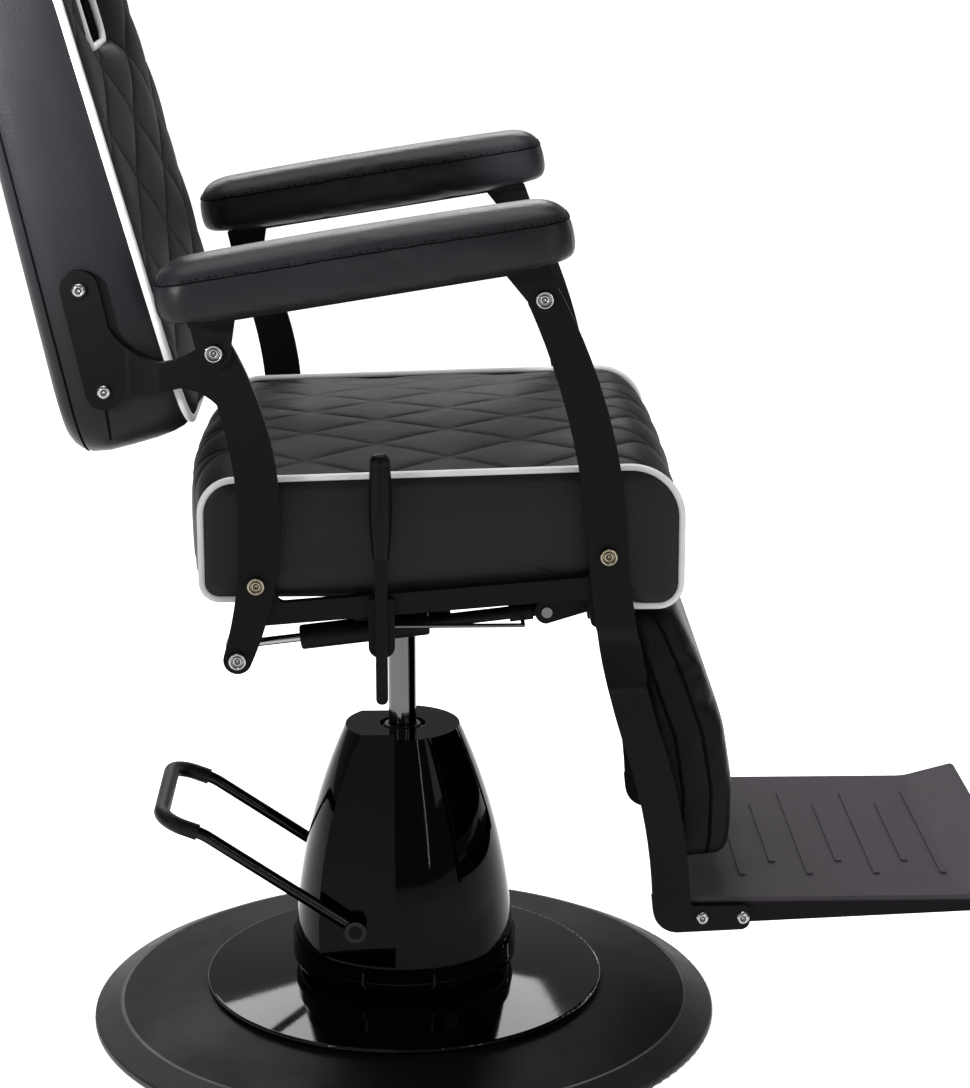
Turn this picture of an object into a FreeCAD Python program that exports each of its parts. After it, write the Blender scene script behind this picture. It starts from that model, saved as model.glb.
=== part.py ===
"""Barber chair: hydraulic base, reclining seat, linked back, armrests and leg rest.

Millimetres. The origin is the swivel axis on the floor, +X is forward, +Y is the sitter's left, +Z is up.
"""
import FreeCAD
import Part
import Sketcher
import math
import os
from FreeCAD import Placement, Rotation, Vector

doc = FreeCAD.newDocument("BarberChair")
sheet = doc.addObject("Spreadsheet::Sheet", "Sizes")

# Driving dimensions, in millimetres and degrees
SIZES = {
    # base
    "ring_radius": 317.5, "ring_width": 30, "ring_height": 20, "ring_edge": 7,
    "base_wall": 8, "underlay": 2, "base_rise": 15,
    "flange_radius": 202, "flange_rim": 6, "flange_rise": 9, "flange_inner": 98,
    "collar_radius": 114, "collar_foot": 104, "collar_height": 34, "collar_wall": 6,
    "cover_base_radius": 111, "cover_mid_radius": 95, "cover_top_radius": 57.5, "cover_height": 222,
    "cover_wall": 3, "cheek_top": 40, "cheek_foot": 72, "cheek_start": 8,
    "cover_hole_radius": 23, "shaft_hole_clearance": 1,
    # pump and lift
    "piston_radius": 14, "piston_head_radius": 23.5, "piston_head_height": 18, "piston_foot_height": 150,
    "bore_clearance": 0.5, "running_clearance": 0.05, "tube_radius": 32, "tube_inner_radius": 24,
    "tube_floor": 12, "foot_radius": 62, "foot_thickness": 8, "gland_length": 40, "gland_head": 5,
    "gland_head_radius": 28, "wiper_radius": 19, "wiper_height": 5,
    "base_bolt_circle": 48, "spigot_radius": 11, "spigot_length": 32,
    # pedal
    "pedal_pivot_x": -48, "pedal_pivot_z": 117, "pedal_half_width": 83, "pedal_bend_x": -197,
    "pedal_bend_z": 219, "pedal_bar_x": -239, "pedal_bar_z": 235, "pedal_tube_radius": 6,
    "pedal_sleeve_radius": 8, "pedal_corner": 25, "pedal_shaft_radius": 7, "pedal_hub_radius": 11,
    "pedal_hub_length": 18, "pump_block_depth": 40, "pump_block_half_width": 45, "pump_block_foot": 62,
    "pump_block_height": 78,
    # swivel mount
    "socket_height": 420, "socket_flange_radius": 31, "socket_flange": 8, "socket_radius": 20,
    "socket_length": 30, "swivel_gap": 0.3, "mount_length": 96, "mount_width": 130, "mount_thickness": 8,
    "mount_corner": 10, "mount_bolt_edge": 12, "riser_height": 26, "riser_width": 112, "riser_foot": 92, "riser_head": 80,
    "riser_corner": 3,
    # seat frame
    "rear_pivot_x": -129, "rear_pivot_z": 523, "front_pivot_x": 187, "front_pivot_z": 548,
    "rail_inner": 246, "rail_thickness": 10, "rail_height": 20, "rail_drop": 21, "ear_radius": 16,
    "rail_foot": 480, "rail_foot_width": 36, "rail_corner": 8, "rail_foot_corner": 6, "plate_gap": 2,
    "washer_slack": 0.2,
    "cross_width": 24, "cross_height": 20, "cross_rear_x": -30, "cross_front_x": 182, "tube_wall": 2,
    "bearer_size": 22, "bearer_y": 44, "bearer_back": -46,
    "seat_board_back": -158, "seat_board_front": 222, "seat_board_half_width": 214,
    "seat_board_thickness": 10,
    # seat cushion
    "seat_back": -178, "seat_front": 254, "seat_droop": 9, "seat_top_rear": 612, "seat_top_front": 624,
    "seat_half_width": 236, "seat_bulge": 6, "seat_crown": 15, "seat_flat_half_width": 188,
    "seat_corner": 30, "seat_front_corner": 46, "seat_low_corner": 14, "seat_front_low_corner": 20,
    "quilt_pitch_long": 132, "quilt_pitch_wide": 90,
    "quilt_depth": 5, "quilt_width": 9,
    # links and plates
    "link_thickness": 8, "tab_thickness": 6, "bolt_radius": 5, "bolt_head_radius": 9.5, "bolt_head_height": 6,
    "open_pivot_clearance": 1.3,
    "upper_rear_x": -161, "upper_rear_z": 736, "upper_front_x": 128, "upper_front_z": 782,
    "lower_rear_x": -147, "lower_rear_z": 453, "rear_link_half_width": 17, "rear_boss_radius": 15.5,
    "rear_end_radius": 13, "back_bolt_top_x": -280, "back_bolt_top_z": 787, "back_bolt_low_x": -261,
    "back_bolt_low_z": 696, "back_pad_radius": 17, "arm_half_height": 20, "back_plate_inner": 236,
    "crank_back_x": -238, "crank_front_x": -212, "bend_radius": 8,
    "crossbar_radius": 8,
    # armrests
    "armrest_back": 41, "armrest_front": 34, "armrest_width": 84, "armrest_height": 51, "armrest_rise": 35,
    "armrest_centre": 280, "armrest_corner": 30, "strip_thickness": 5, "strip_width": 46, "strip_inset": 26,
    "armrest_low_inset": 5, "armrest_edge_inset": 6, "armrest_crown_inset": 20,
    "tab_end_radius": 15, "tab_top_width": 42, "tab_rear_shift": 4, "tab_front_shift": 12,
    # legs and footrest
    "leg_half_width": 18, "leg_top_radius": 15, "leg_knee_x": 168, "leg_knee_z": 675, "leg_shin_x": 199.5,
    "leg_shin_z": 455, "leg_calf_x": 226, "leg_calf_z": 348, "leg_ankle_x": 247, "leg_ankle_z": 270,
    "leg_heel_x": 257, "leg_heel_z": 188, "leg_low_inner": 174, "leg_crank_top": 474, "leg_crank_foot": 398,
    "leg_bend_radius": 14, "toe_sole": 150, "toe_height": 28, "toe_length": 94, "toe_corner": 24,
    "heel_lean": 3, "toe_lift": 4, "toe_low_corner": 9, "toe_top_corner": 6, "toe_throat": 4,
    "foot_bolt_z": 166, "foot_bolt_rear_x": 287, "foot_bolt_front_x": 326, "foot_bolt_radius": 4,
    "leg_tube_x": 217, "leg_tube_z": 380, "leg_tube_radius": 9,
    "tray_back": 274, "tray_front": 597, "tray_top": 184, "tray_skirt": 28, "tray_wall": 4,
    "tray_half_width": 174, "tray_lip_start": 540, "tray_lip_rise": 15, "tread_pitch": 33, "tread_first": 333,
    "tray_lip_bend": 60, "tray_lip_edge": 6, "tray_edge": 3, "tread_width": 6, "tread_height": 2,
    "tread_long": 118, "tread_short": 84,
    # calf pad
    "calf_top_x": 234, "calf_top_z": 466, "calf_low_x": 270, "calf_low_z": 214, "calf_depth_top": 22,
    "calf_depth_mid": 54, "calf_depth_low": 42, "calf_half_width": 164, "calf_flat_half_width": 140,
    "calf_inset": 12, "calf_board_thickness": 8, "calf_bracket_y": 60, "calf_bracket_width": 20,
    # backrest, measured along its own slope
    "back_foot_x": -189, "back_foot_z": 660, "back_slope": 15.3, "back_height": 540, "back_half_width": 226,
    "back_bulge": 8, "back_depth_low": 112, "back_depth_high": 80, "back_corner": 42, "back_top_corner": 84,
    "back_rear_inset": 18, "back_board_thickness": 12, "back_board_inset": 26, "back_crown": 16,
    "back_edge_inset": 3, "back_round_inset": 14, "back_crown_inset": 34,
    "slot_half_width": 55, "slot_height": 60, "slot_y": 116, "slot_low": 340, "slot_corner": 7,
    "tuft_pitch_high": 104, "tuft_pitch_wide": 190, "tuft_depth": 6, "tuft_width": 12,
    # headrest
    "head_gap": 14, "head_height": 120, "head_half_width": 128, "head_depth": 78, "head_corner": 36,
    "head_rear_inset": 10, "head_side_inset": 2, "head_edge_inset": 5, "head_crown_inset": 20,
    "post_radius": 6, "post_y": 55, "post_length": 220, "post_set_back": 40, "guide_radius": 9,
    "guide_length": 190,
    # recline spring, release and lever
    "spring_y": 210, "spring_front_x": 134, "spring_front_z": 484, "spring_radius": 11.5, "spring_wall": 2.5,
    "spring_rod_radius": 4, "spring_travel": 40, "spring_length": 119, "spring_neck_radius": 6,
    "spring_eye_radius": 9, "spring_eye_width": 16, "spring_head_radius": 8.5, "spring_head_length": 22,
    "rod_eye_radius": 14, "eye_clearance": 1.5, "eye_drop": 1.15, "fork_thickness": 5,
    "fork_slack": 0.5, "fork_radius": 11, "pin_tail": 2,
    "lever_x": -17, "lever_z": 464, "lever_width": 11, "lever_thickness": 7, "lever_top": 643, "lever_foot": 411,
    "grip_length": 96, "grip_radius": 10.5, "lever_bracket_width": 24, "lever_bracket_foot": 453,
    "lever_bracket_top": 508, "lever_bracket_thickness": 6, "lever_bracket_corner": 3,
    "crank_radius": 10, "crank_arm": 6,
    "release_y": 231, "release_radius": 2, "release_front_x": 112, "release_eye_radius": 6,
    "release_pin_radius": 3, "lever_shaft_radius": 5,
}
for row, (alias, value) in enumerate(SIZES.items(), start=1):
    sheet.set("A%d" % row, alias.replace("_", " "))
    sheet.set("B%d" % row, str(value))
    sheet.setAlias("B%d" % row, alias)
doc.recompute()

nodes = {}


def size(alias):
    return float(sheet.get(alias))


def keep(name, piece):
    """Name a finished sub-part, so that it is written out under that name."""
    piece.Label = name
    nodes[name] = piece
    return piece


def flat(x, y):
    return Vector(x, y, 0)


# Outlines: lists of lines and arcs in a sketch's own plane


def in_line(first, middle, last):
    return abs((middle - first).cross(last - first).z) < 1e-6


def lines_and_arcs(steps):
    """Closed outline through steps of (point,) for a line or (middle, point) for an arc."""
    outline = []
    start = steps[-1][-1]
    for step in steps:
        end = step[-1]
        if len(step) == 2 and not in_line(start, step[0], end):
            outline.append(Part.Arc(start, step[0], end))
        elif start.distanceToPoint(end) > 1e-6:
            outline.append(Part.LineSegment(start, end))
        start = end
    return outline


def rounded(corners):
    """Closed outline through corners of (x, y, radius)."""
    count = len(corners)
    steps = []
    for i in range(count):
        before, here, after = (corners[(i + k) % count] for k in (-1, 0, 1))
        point = flat(here[0], here[1])
        into = (flat(before[0], before[1]) - point).normalize()
        out = (flat(after[0], after[1]) - point).normalize()
        if here[2] == 0:
            steps.append((point,))
            continue
        half = into.getAngle(out) / 2
        reach = here[2] / math.tan(half)
        middle = (into + out).normalize() * (here[2] / math.sin(half) - here[2])
        steps.append((point + into * reach,))
        steps.append((point + middle, point + out * reach))
    return lines_and_arcs(steps)


def turn_left(direction):
    return flat(-direction.y, direction.x)


def arc_headings(first, middle, last):
    """Unit directions of travel at the three points of an arc, or of a straight run."""
    if in_line(first, middle, last):
        heading = (last - first).normalize()
        return [heading] * 3
    centre = Part.Circle(first, middle, last).Center
    sign = 1 if (middle - first).cross(last - middle).z > 0 else -1
    return [turn_left((point - centre).normalize()) * sign for point in (first, middle, last)]


def ribbon(stations):
    """Closed outline of a curved link through an odd number of (x, y, half width) stations."""
    points = [flat(x, y) for x, y, _ in stations]
    headings = [Vector(0, 0, 0) for _ in points]
    for i in range(0, len(points) - 2, 2):
        for k, heading in enumerate(arc_headings(*points[i:i + 3])):
            headings[i + k] = headings[i + k] + heading
    for heading in headings:
        heading.normalize()
    left = [p + turn_left(d) * s[2] for p, d, s in zip(points, headings, stations)]
    right = [p - turn_left(d) * s[2] for p, d, s in zip(points, headings, stations)]
    tip = points[-1] + headings[-1] * stations[-1][2]
    tail = points[0] - headings[0] * stations[0][2]
    steps = [(left[i + 1], left[i + 2]) for i in range(0, len(left) - 2, 2)]
    steps.append((tip, right[-1]))
    steps += [(right[i - 1], right[i - 2]) for i in range(len(right) - 1, 1, -2)]
    steps.append((tail, left[0]))
    return lines_and_arcs(steps)


def strip(points, thickness, bend):
    """Closed outline of a bent strip: a centre line, its thickness and its inside bend radius."""
    line = [flat(x, y) for x, y in points]
    sides = []
    for hand in (1, -1):
        side = []
        for i, point in enumerate(line):
            runs = [(line[k + 1] - line[k]).normalize() for k in (i - 1, i) if 0 <= k < len(line) - 1]
            normal = turn_left((runs[0] + runs[-1]).normalize()) * hand
            stretch = 1 / max(0.2, normal.dot(turn_left(runs[0]) * hand))
            place = point + normal * (stretch * thickness / 2)
            radius = 0
            if len(runs) == 2:
                inside = runs[0].cross(runs[1]).z * hand > 0
                radius = bend if inside else bend + thickness
            side.append((place.x, place.y, radius))
        sides.append(side)
    return rounded(sides[0] + sides[1][::-1])


# Solids


def plane(body, role):
    return next(feature for feature in body.Origin.OriginFeatures if feature.Role == role)


def sketch_on(body, role, outline, offset=0):
    sketch = body.newObject("Sketcher::SketchObject", "Outline")
    sketch.AttachmentSupport = [(plane(body, role), "")]
    sketch.MapMode = "FlatFace"
    sketch.AttachmentOffset = Placement(Vector(0, 0, offset), Rotation())
    sketch.addGeometry(outline, False)
    return sketch


def cut_holes(body, role, holes):
    """Drill (x, y, radius expression) holes right through a body."""
    sketch = sketch_on(body, role, [])
    for x, y, radius in holes:
        index = sketch.addGeometry(Part.Circle(flat(x, y), Vector(0, 0, 1), 1), False)
        constraint = sketch.addConstraint(Sketcher.Constraint("Radius", index, 1.0))
        sketch.setExpression("Constraints[%d]" % constraint, radius)
        sketch.addConstraint(Sketcher.Constraint("DistanceX", -1, 1, index, 3, x))
        sketch.addConstraint(Sketcher.Constraint("DistanceY", -1, 1, index, 3, y))
    doc.recompute()
    before = body.Shape.Volume
    pocket = body.newObject("PartDesign::Pocket", "Holes")
    pocket.Profile = sketch
    pocket.SideType = "Symmetric"
    pocket.Type = "ThroughAll"
    doc.recompute()
    if body.Shape.Volume >= before:
        raise RuntimeError("the holes missed " + body.Label)


def prism(name, role, outlines, length, holes=()):
    """A body of one or more outlines padded to the same length, half each way from an origin plane."""
    body = doc.addObject("PartDesign::Body", name)
    for outline in outlines:
        pad = body.newObject("PartDesign::Pad", "Pad")
        pad.Profile = sketch_on(body, role, outline)
        pad.SideType = "Symmetric"
        pad.setExpression("Length", length)
        doc.recompute()
    if holes:
        cut_holes(body, role, holes)
    return body


def turned(name, outline):
    """A body turned about Z from an outline of radius and height."""
    body = doc.addObject("PartDesign::Body", name)
    turn = body.newObject("PartDesign::Revolution", "Turn")
    sketch = sketch_on(body, "XZ_Plane", outline)
    turn.Profile = sketch
    turn.ReferenceAxis = (sketch, ["V_Axis"])
    doc.recompute()
    return body


def cylinder(name, radius, length, place):
    piece = doc.addObject("Part::Cylinder", name)
    piece.setExpression("Radius", radius)
    piece.setExpression("Height", length)
    piece.Placement = place
    return piece


def box(name, length, width, height, corner):
    piece = doc.addObject("Part::Box", name)
    piece.setExpression("Length", length)
    piece.setExpression("Width", width)
    piece.setExpression("Height", height)
    piece.Placement = Placement(corner, Rotation())
    return piece


def combine(kind, base, tool):
    piece = doc.addObject("Part::" + kind, kind)
    piece.Base = base
    piece.Tool = tool
    return piece


def gather(kind, pieces):
    """Several pieces as one compound, or joined into one solid."""
    group = doc.addObject("Part::" + kind, kind)
    if kind == "Compound":
        group.Links = pieces
    else:
        group.Shapes = pieces
    return group


def formed(name, shape, place=None):
    piece = doc.addObject("Part::Feature", name)
    piece.Shape = shape
    if place:
        piece.Placement = place
    return piece


def across(x, z, y):
    """Placement that lays a cylinder's axis along +Y, starting at y."""
    return Placement(Vector(x, y, z), Rotation(Vector(1, 0, 0), -90))


def bolt_shape(head, outward, reach, shank):
    """A dome-headed bolt: its head sits at a point and its shank runs inwards along Y."""
    radius = size("bolt_head_radius") * shank / size("bolt_radius")
    tall = size("bolt_head_height") * shank / size("bolt_radius")
    inward = Vector(0, -outward, 0)
    dome = [flat(radius, 0), flat(radius * 0.86, tall * 0.7), flat(radius * 0.5, tall), flat(0, tall)]
    face = Part.Face(Part.Wire([
        Part.LineSegment(flat(0, 0), dome[0]).toShape(),
        Part.Arc(dome[0], dome[1], dome[2]).toShape(),
        Part.LineSegment(dome[2], dome[3]).toShape(),
        Part.LineSegment(dome[3], flat(0, 0)).toShape()]))
    cap = face.revolve(Vector(0, 0, 0), Vector(0, 1, 0), 360)
    if outward < 0:
        cap.rotate(Vector(0, 0, 0), Vector(1, 0, 0), 180)
    cap.translate(head)
    return cap.fuse(Part.makeCylinder(shank, reach, head, inward)).removeSplitter()


def bolts(name, places, reach, shank):
    """A group of alike bolts at (x, outward y, z) places."""
    shapes = []
    for x, y, z in places:
        shapes.append(bolt_shape(Vector(x, y, z), math.copysign(1, y), reach, shank))
    return keep(name, formed(name, Part.makeCompound(shapes)))


def wire_at(outline, matrix):
    wire = Part.Wire(Part.__sortEdges__([edge.toShape() for edge in outline]))
    wire.transformShape(matrix, True)
    return wire


def layer(axis, distance):
    """Matrix that stands a flat outline at a distance along an axis."""
    if axis == "Y":
        return Placement(Vector(0, distance, 0), Rotation(Vector(1, 0, 0), 90)).toMatrix()
    if axis == "X":
        return Placement(Vector(distance, 0, 0), Rotation(0.5, 0.5, 0.5, 0.5)).toMatrix()
    return Placement(Vector(0, 0, distance), Rotation()).toMatrix()


def loft(layers):
    """A straight-sided solid through outlines, each with its matrix."""
    return Part.makeLoft([wire_at(outline, matrix) for outline, matrix in layers], True, True)


def joined(shapes):
    whole = shapes[0]
    for shape in shapes[1:]:
        whole = whole.fuse(shape)
    return whole.removeSplitter()


def bent_path(points, radii):
    """Wire of straight runs joined by tangent arcs."""
    edges = []
    start = points[0]
    for i in range(1, len(points) - 1):
        into = (points[i - 1] - points[i]).normalize()
        out = (points[i + 1] - points[i]).normalize()
        half = into.getAngle(out) / 2
        reach = radii[i - 1] / math.tan(half)
        middle = points[i] + (into + out).normalize() * (radii[i - 1] / math.sin(half) - radii[i - 1])
        edges.append(Part.LineSegment(start, points[i] + into * reach).toShape())
        edges.append(Part.Arc(points[i] + into * reach, middle, points[i] + out * reach).toShape())
        start = points[i] + out * reach
    edges.append(Part.LineSegment(start, points[-1]).toShape())
    return Part.Wire(edges)


def round_pipe(path, radius):
    first = path.Edges[0]
    ring = Part.makeCircle(radius, first.valueAt(first.FirstParameter), first.tangentAt(first.FirstParameter))
    return path.makePipeShell([Part.Wire(ring)], True, False)


SIDES = {"right": -1, "left": 1}

# Heights of the base, from the floor up
base_top = size("ring_height") + size("base_rise")
flange_seat = base_top + size("flange_rim") + size("flange_rise")
collar_top = flange_seat + size("collar_height")
cover_top = collar_top + size("cover_height")


def base():
    inner = size("ring_radius") - size("ring_width")
    edge = size("ring_edge")
    keep("base_ring", turned("BaseRing", rounded([
        (inner, 0, 0), (size("ring_radius"), 0, edge * 0.4), (size("ring_radius"), edge, edge * 0.5),
        (inner + edge / 2, size("ring_height"), edge * 0.4), (inner, size("ring_height"), 0)])))

    sheet_disc = cylinder("BaseUnderlay", "Sizes.ring_radius - Sizes.ring_width", "Sizes.underlay",
                          Placement(Vector(0, 0, 0), Rotation()))
    keep("base_underlay", sheet_disc)

    wall = size("base_wall")
    shoulder = size("flange_radius") - size("flange_rim")
    dish = turned("BasePlate", rounded([
        (0, base_top - wall, 0), (shoulder, base_top - wall, wall), (inner - wall, size("ring_height") - wall, 0),
        (inner - wall, size("underlay"), 0), (inner, size("underlay"), 0),
        (inner, size("ring_height"), 0), (shoulder, base_top, wall), (0, base_top, 0)]))
    ring = size("base_bolt_circle") * math.sqrt(0.5)
    spots = [(i * ring, j * ring) for i in (-1, 1) for j in (-1, 1)]
    cut_holes(dish, "XY_Plane", [(x, y, "Sizes.bolt_radius") for x, y in spots])
    keep("base_plate", dish)

    keep("base_flange", turned("BaseFlange", rounded([
        (size("flange_inner"), base_top, 0), (size("flange_radius"), base_top, size("flange_rim") * 0.4),
        (size("flange_radius"), base_top + size("flange_rim"), size("flange_rim") * 0.4),
        (size("collar_foot"), flange_seat, 0), (size("flange_inner"), flange_seat, 0)])))

    foot = size("foot_thickness")
    tube_top = cover_top - size("gland_head") - size("wiper_height")
    cylinder_body = turned("PumpCylinder", rounded([
        (0, base_top, 0), (size("foot_radius"), base_top, 0), (size("foot_radius"), base_top + foot, 2),
        (size("tube_radius"), base_top + foot, 0), (size("tube_radius"), tube_top, 0),
        (size("tube_inner_radius"), tube_top, 0), (size("tube_inner_radius"), base_top + size("tube_floor"), 0),
        (0, base_top + size("tube_floor"), 0)]))
    cut_holes(cylinder_body, "XY_Plane", [(x, y, "Sizes.bolt_radius") for x, y in spots])
    keep("pump_cylinder", cylinder_body)
    reach = foot + wall
    shapes = []
    for x, y in spots:
        bolt = bolt_shape(Vector(0, 0, 0), 1, reach, size("bolt_radius"))
        bolt.rotate(Vector(0, 0, 0), Vector(1, 0, 0), 90)
        bolt.translate(Vector(x, y, base_top + foot))
        shapes.append(bolt)
    keep("base_bolts", formed("BaseBolts", Part.makeCompound(shapes)))

    run = size("piston_radius") + size("running_clearance")
    head = tube_top + size("gland_head")
    keep("gland_bush", turned("GlandBush", rounded([
        (run, tube_top - size("gland_length"), 0), (size("tube_inner_radius"), tube_top - size("gland_length"), 0),
        (size("tube_inner_radius"), tube_top, 0), (size("gland_head_radius"), tube_top, 0),
        (size("gland_head_radius"), head, 1), (run, head, 0)])))
    keep("wiper_ring", turned("WiperRing", rounded([
        (run, head, 0), (size("wiper_radius"), head, 0), (size("wiper_radius"), head + size("wiper_height"), 2),
        (run, head + size("wiper_height"), 1)])))


def cover_form(name, inset):
    """The pump cover's outside, or its hollow when it is drawn in by the wall."""
    low = size("cover_base_radius") - inset
    middle = size("cover_mid_radius") - inset
    high = size("cover_top_radius") - inset
    top = cover_top - inset
    body = turned(name, lines_and_arcs([
        (flat(low, collar_top),), (flat(middle, (collar_top + cover_top) / 2), flat(high, top)),
        (flat(0, top),), (flat(0, collar_top),)]))
    lean = (size("cheek_foot") - size("cheek_top")) / size("cover_height")
    ledge = collar_top + size("cover_wall") - inset
    far = 2 * size("cover_base_radius")
    peak = cover_top + size("cover_wall")
    for hand in (1, -1):
        edge_high = hand * (size("cheek_top") - inset - lean * size("cover_wall"))
        edge_low = hand * (size("cheek_top") - inset + lean * (cover_top - ledge))
        cheek = rounded([(edge_high, peak, 0), (edge_low, ledge, 0), (hand * far, ledge, 0), (hand * far, peak, 0)])
        before = body.Shape.Volume
        pocket = body.newObject("PartDesign::Pocket", "Cheek")
        pocket.Profile = sketch_on(body, "YZ_Plane", cheek, inset - size("cheek_start"))
        pocket.Type = "ThroughAll"
        doc.recompute()
        if body.Shape.Volume >= before:
            raise RuntimeError("a cheek missed the cover")
    return body


def cover():
    hollow = combine("Cut", cover_form("CoverForm", 0), cover_form("CoverHollow", size("cover_wall")))
    hole = cylinder("CoverHole", "Sizes.cover_hole_radius", "Sizes.cover_height",
                    Placement(Vector(0, 0, collar_top + 0.5 * size("cover_height")), Rotation()))
    shaft_hole = cylinder("CoverShaftHole", "Sizes.pedal_shaft_radius + Sizes.shaft_hole_clearance",
                          "2 * Sizes.cover_base_radius",
                          across(size("pedal_pivot_x"), size("pedal_pivot_z"), -size("cover_base_radius")))
    keep("pump_cover", combine("Cut", combine("Cut", hollow, hole), shaft_hole))
    outer = size("collar_radius")
    wall = size("collar_wall")
    foot = size("collar_foot")
    collar = turned("Collar", lines_and_arcs([
        (flat(foot, flange_seat),),
        (flat(outer - wall / 3, flange_seat + wall * 1.4), flat(outer, flange_seat + wall * 3.4)),
        (flat(outer, collar_top),), (flat(outer - wall, collar_top),),
        (flat(outer - wall, flange_seat + wall * 3),), (flat(foot - wall, flange_seat + wall),),
        (flat(foot - wall, flange_seat),)]))
    keep("cover_collar", collar)


def lift():
    radius = size("piston_radius")
    foot = size("piston_foot_height")
    head = foot + size("piston_head_height")
    shoulder = size("socket_height") - size("swivel_gap")
    keep("piston", turned("Piston", rounded([
        (0, foot, 0), (size("piston_head_radius"), foot, 2), (size("piston_head_radius"), head, 2),
        (radius, head, 0), (radius, shoulder, 0), (size("spigot_radius"), shoulder, 0),
        (size("spigot_radius"), shoulder + size("spigot_length"), 2), (0, shoulder + size("spigot_length"), 0)])))


def pedal():
    x, z = size("pedal_pivot_x"), size("pedal_pivot_z")
    half = size("pedal_half_width")
    bend = Vector(size("pedal_bend_x"), half, size("pedal_bend_z"))
    corner = Vector(size("pedal_bar_x"), half, size("pedal_bar_z"))
    mirror = [Vector(p.x, -p.y, p.z) for p in (corner, bend)]
    radii = [3 * size("pedal_corner") * 0.8, size("pedal_corner")]
    hub = Vector(x, half, z)
    start = hub + (bend - hub).normalize() * size("pedal_hub_radius") * 0.7
    end = Vector(start.x, -start.y, start.z)
    path = bent_path([start, bend, corner] + mirror + [end], radii + radii[::-1])
    tube = round_pipe(path, size("pedal_tube_radius"))
    hubs = []
    for hand in SIDES.values():
        hubs.append(Part.makeCylinder(size("pedal_hub_radius"), size("pedal_hub_length"),
                                      Vector(x, hand * half - size("pedal_hub_length") / 2, z), Vector(0, 1, 0)))
    hole = Part.makeCylinder(size("pedal_shaft_radius"), 4 * half, Vector(x, -2 * half, z), Vector(0, 1, 0))
    keep("pedal_bar", formed("PedalBar", joined([tube] + hubs).cut(hole)))

    sleeve_start = bend + (corner - bend) * 0.12
    ends = [sleeve_start, corner, mirror[0], Vector(sleeve_start.x, -sleeve_start.y, sleeve_start.z)]
    sleeve_path = bent_path(ends, [size("pedal_corner")] * 2)
    outer = round_pipe(sleeve_path, size("pedal_sleeve_radius"))
    keep("pedal_sleeve", formed("PedalSleeve", outer.cut(tube)))

    reach = half + size("pedal_hub_length") / 2
    shaft = cylinder("PedalShaft", "Sizes.pedal_shaft_radius",
                     "2 * Sizes.pedal_half_width + Sizes.pedal_hub_length", across(x, z, -reach))
    keep("pedal_shaft", shaft)

    block = box("PumpBlock", "Sizes.pump_block_depth", "2 * Sizes.pump_block_half_width",
                "Sizes.pump_block_height",
                Vector(-size("tube_radius") * 0.8 - size("pump_block_depth"), -size("pump_block_half_width"),
                       size("pump_block_foot")))
    saddle = cylinder("PumpSaddle", "Sizes.tube_radius", "Sizes.cover_height",
                      Placement(Vector(0, 0, base_top), Rotation()))
    bearing = cylinder("PumpBearing", "Sizes.pedal_shaft_radius + Sizes.running_clearance",
                       "4 * Sizes.pump_block_half_width", across(x, z, -2 * size("pump_block_half_width")))
    keep("pump_block", combine("Cut", combine("Cut", block, saddle), bearing))


# Seat frame: s runs forward along the line through the two lower pivots, t stands square to it
rear_pivot = flat(size("rear_pivot_x"), size("rear_pivot_z"))
front_pivot = flat(size("front_pivot_x"), size("front_pivot_z"))
upper_rear = flat(size("upper_rear_x"), size("upper_rear_z"))
upper_front = flat(size("upper_front_x"), size("upper_front_z"))
lower_rear = flat(size("lower_rear_x"), size("lower_rear_z"))
rail_outer = size("rail_inner") + size("rail_thickness")
link_inner = rail_outer + size("plate_gap")
link_outer = link_inner + size("link_thickness")
tab_inner = link_outer + size("plate_gap")
tab_outer = tab_inner + size("tab_thickness")
mount_top = size("socket_height") + size("socket_flange") + size("mount_thickness")
bearer_top = mount_top + size("riser_height") + size("bearer_size")
cross_top = bearer_top + size("cross_height")


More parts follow.
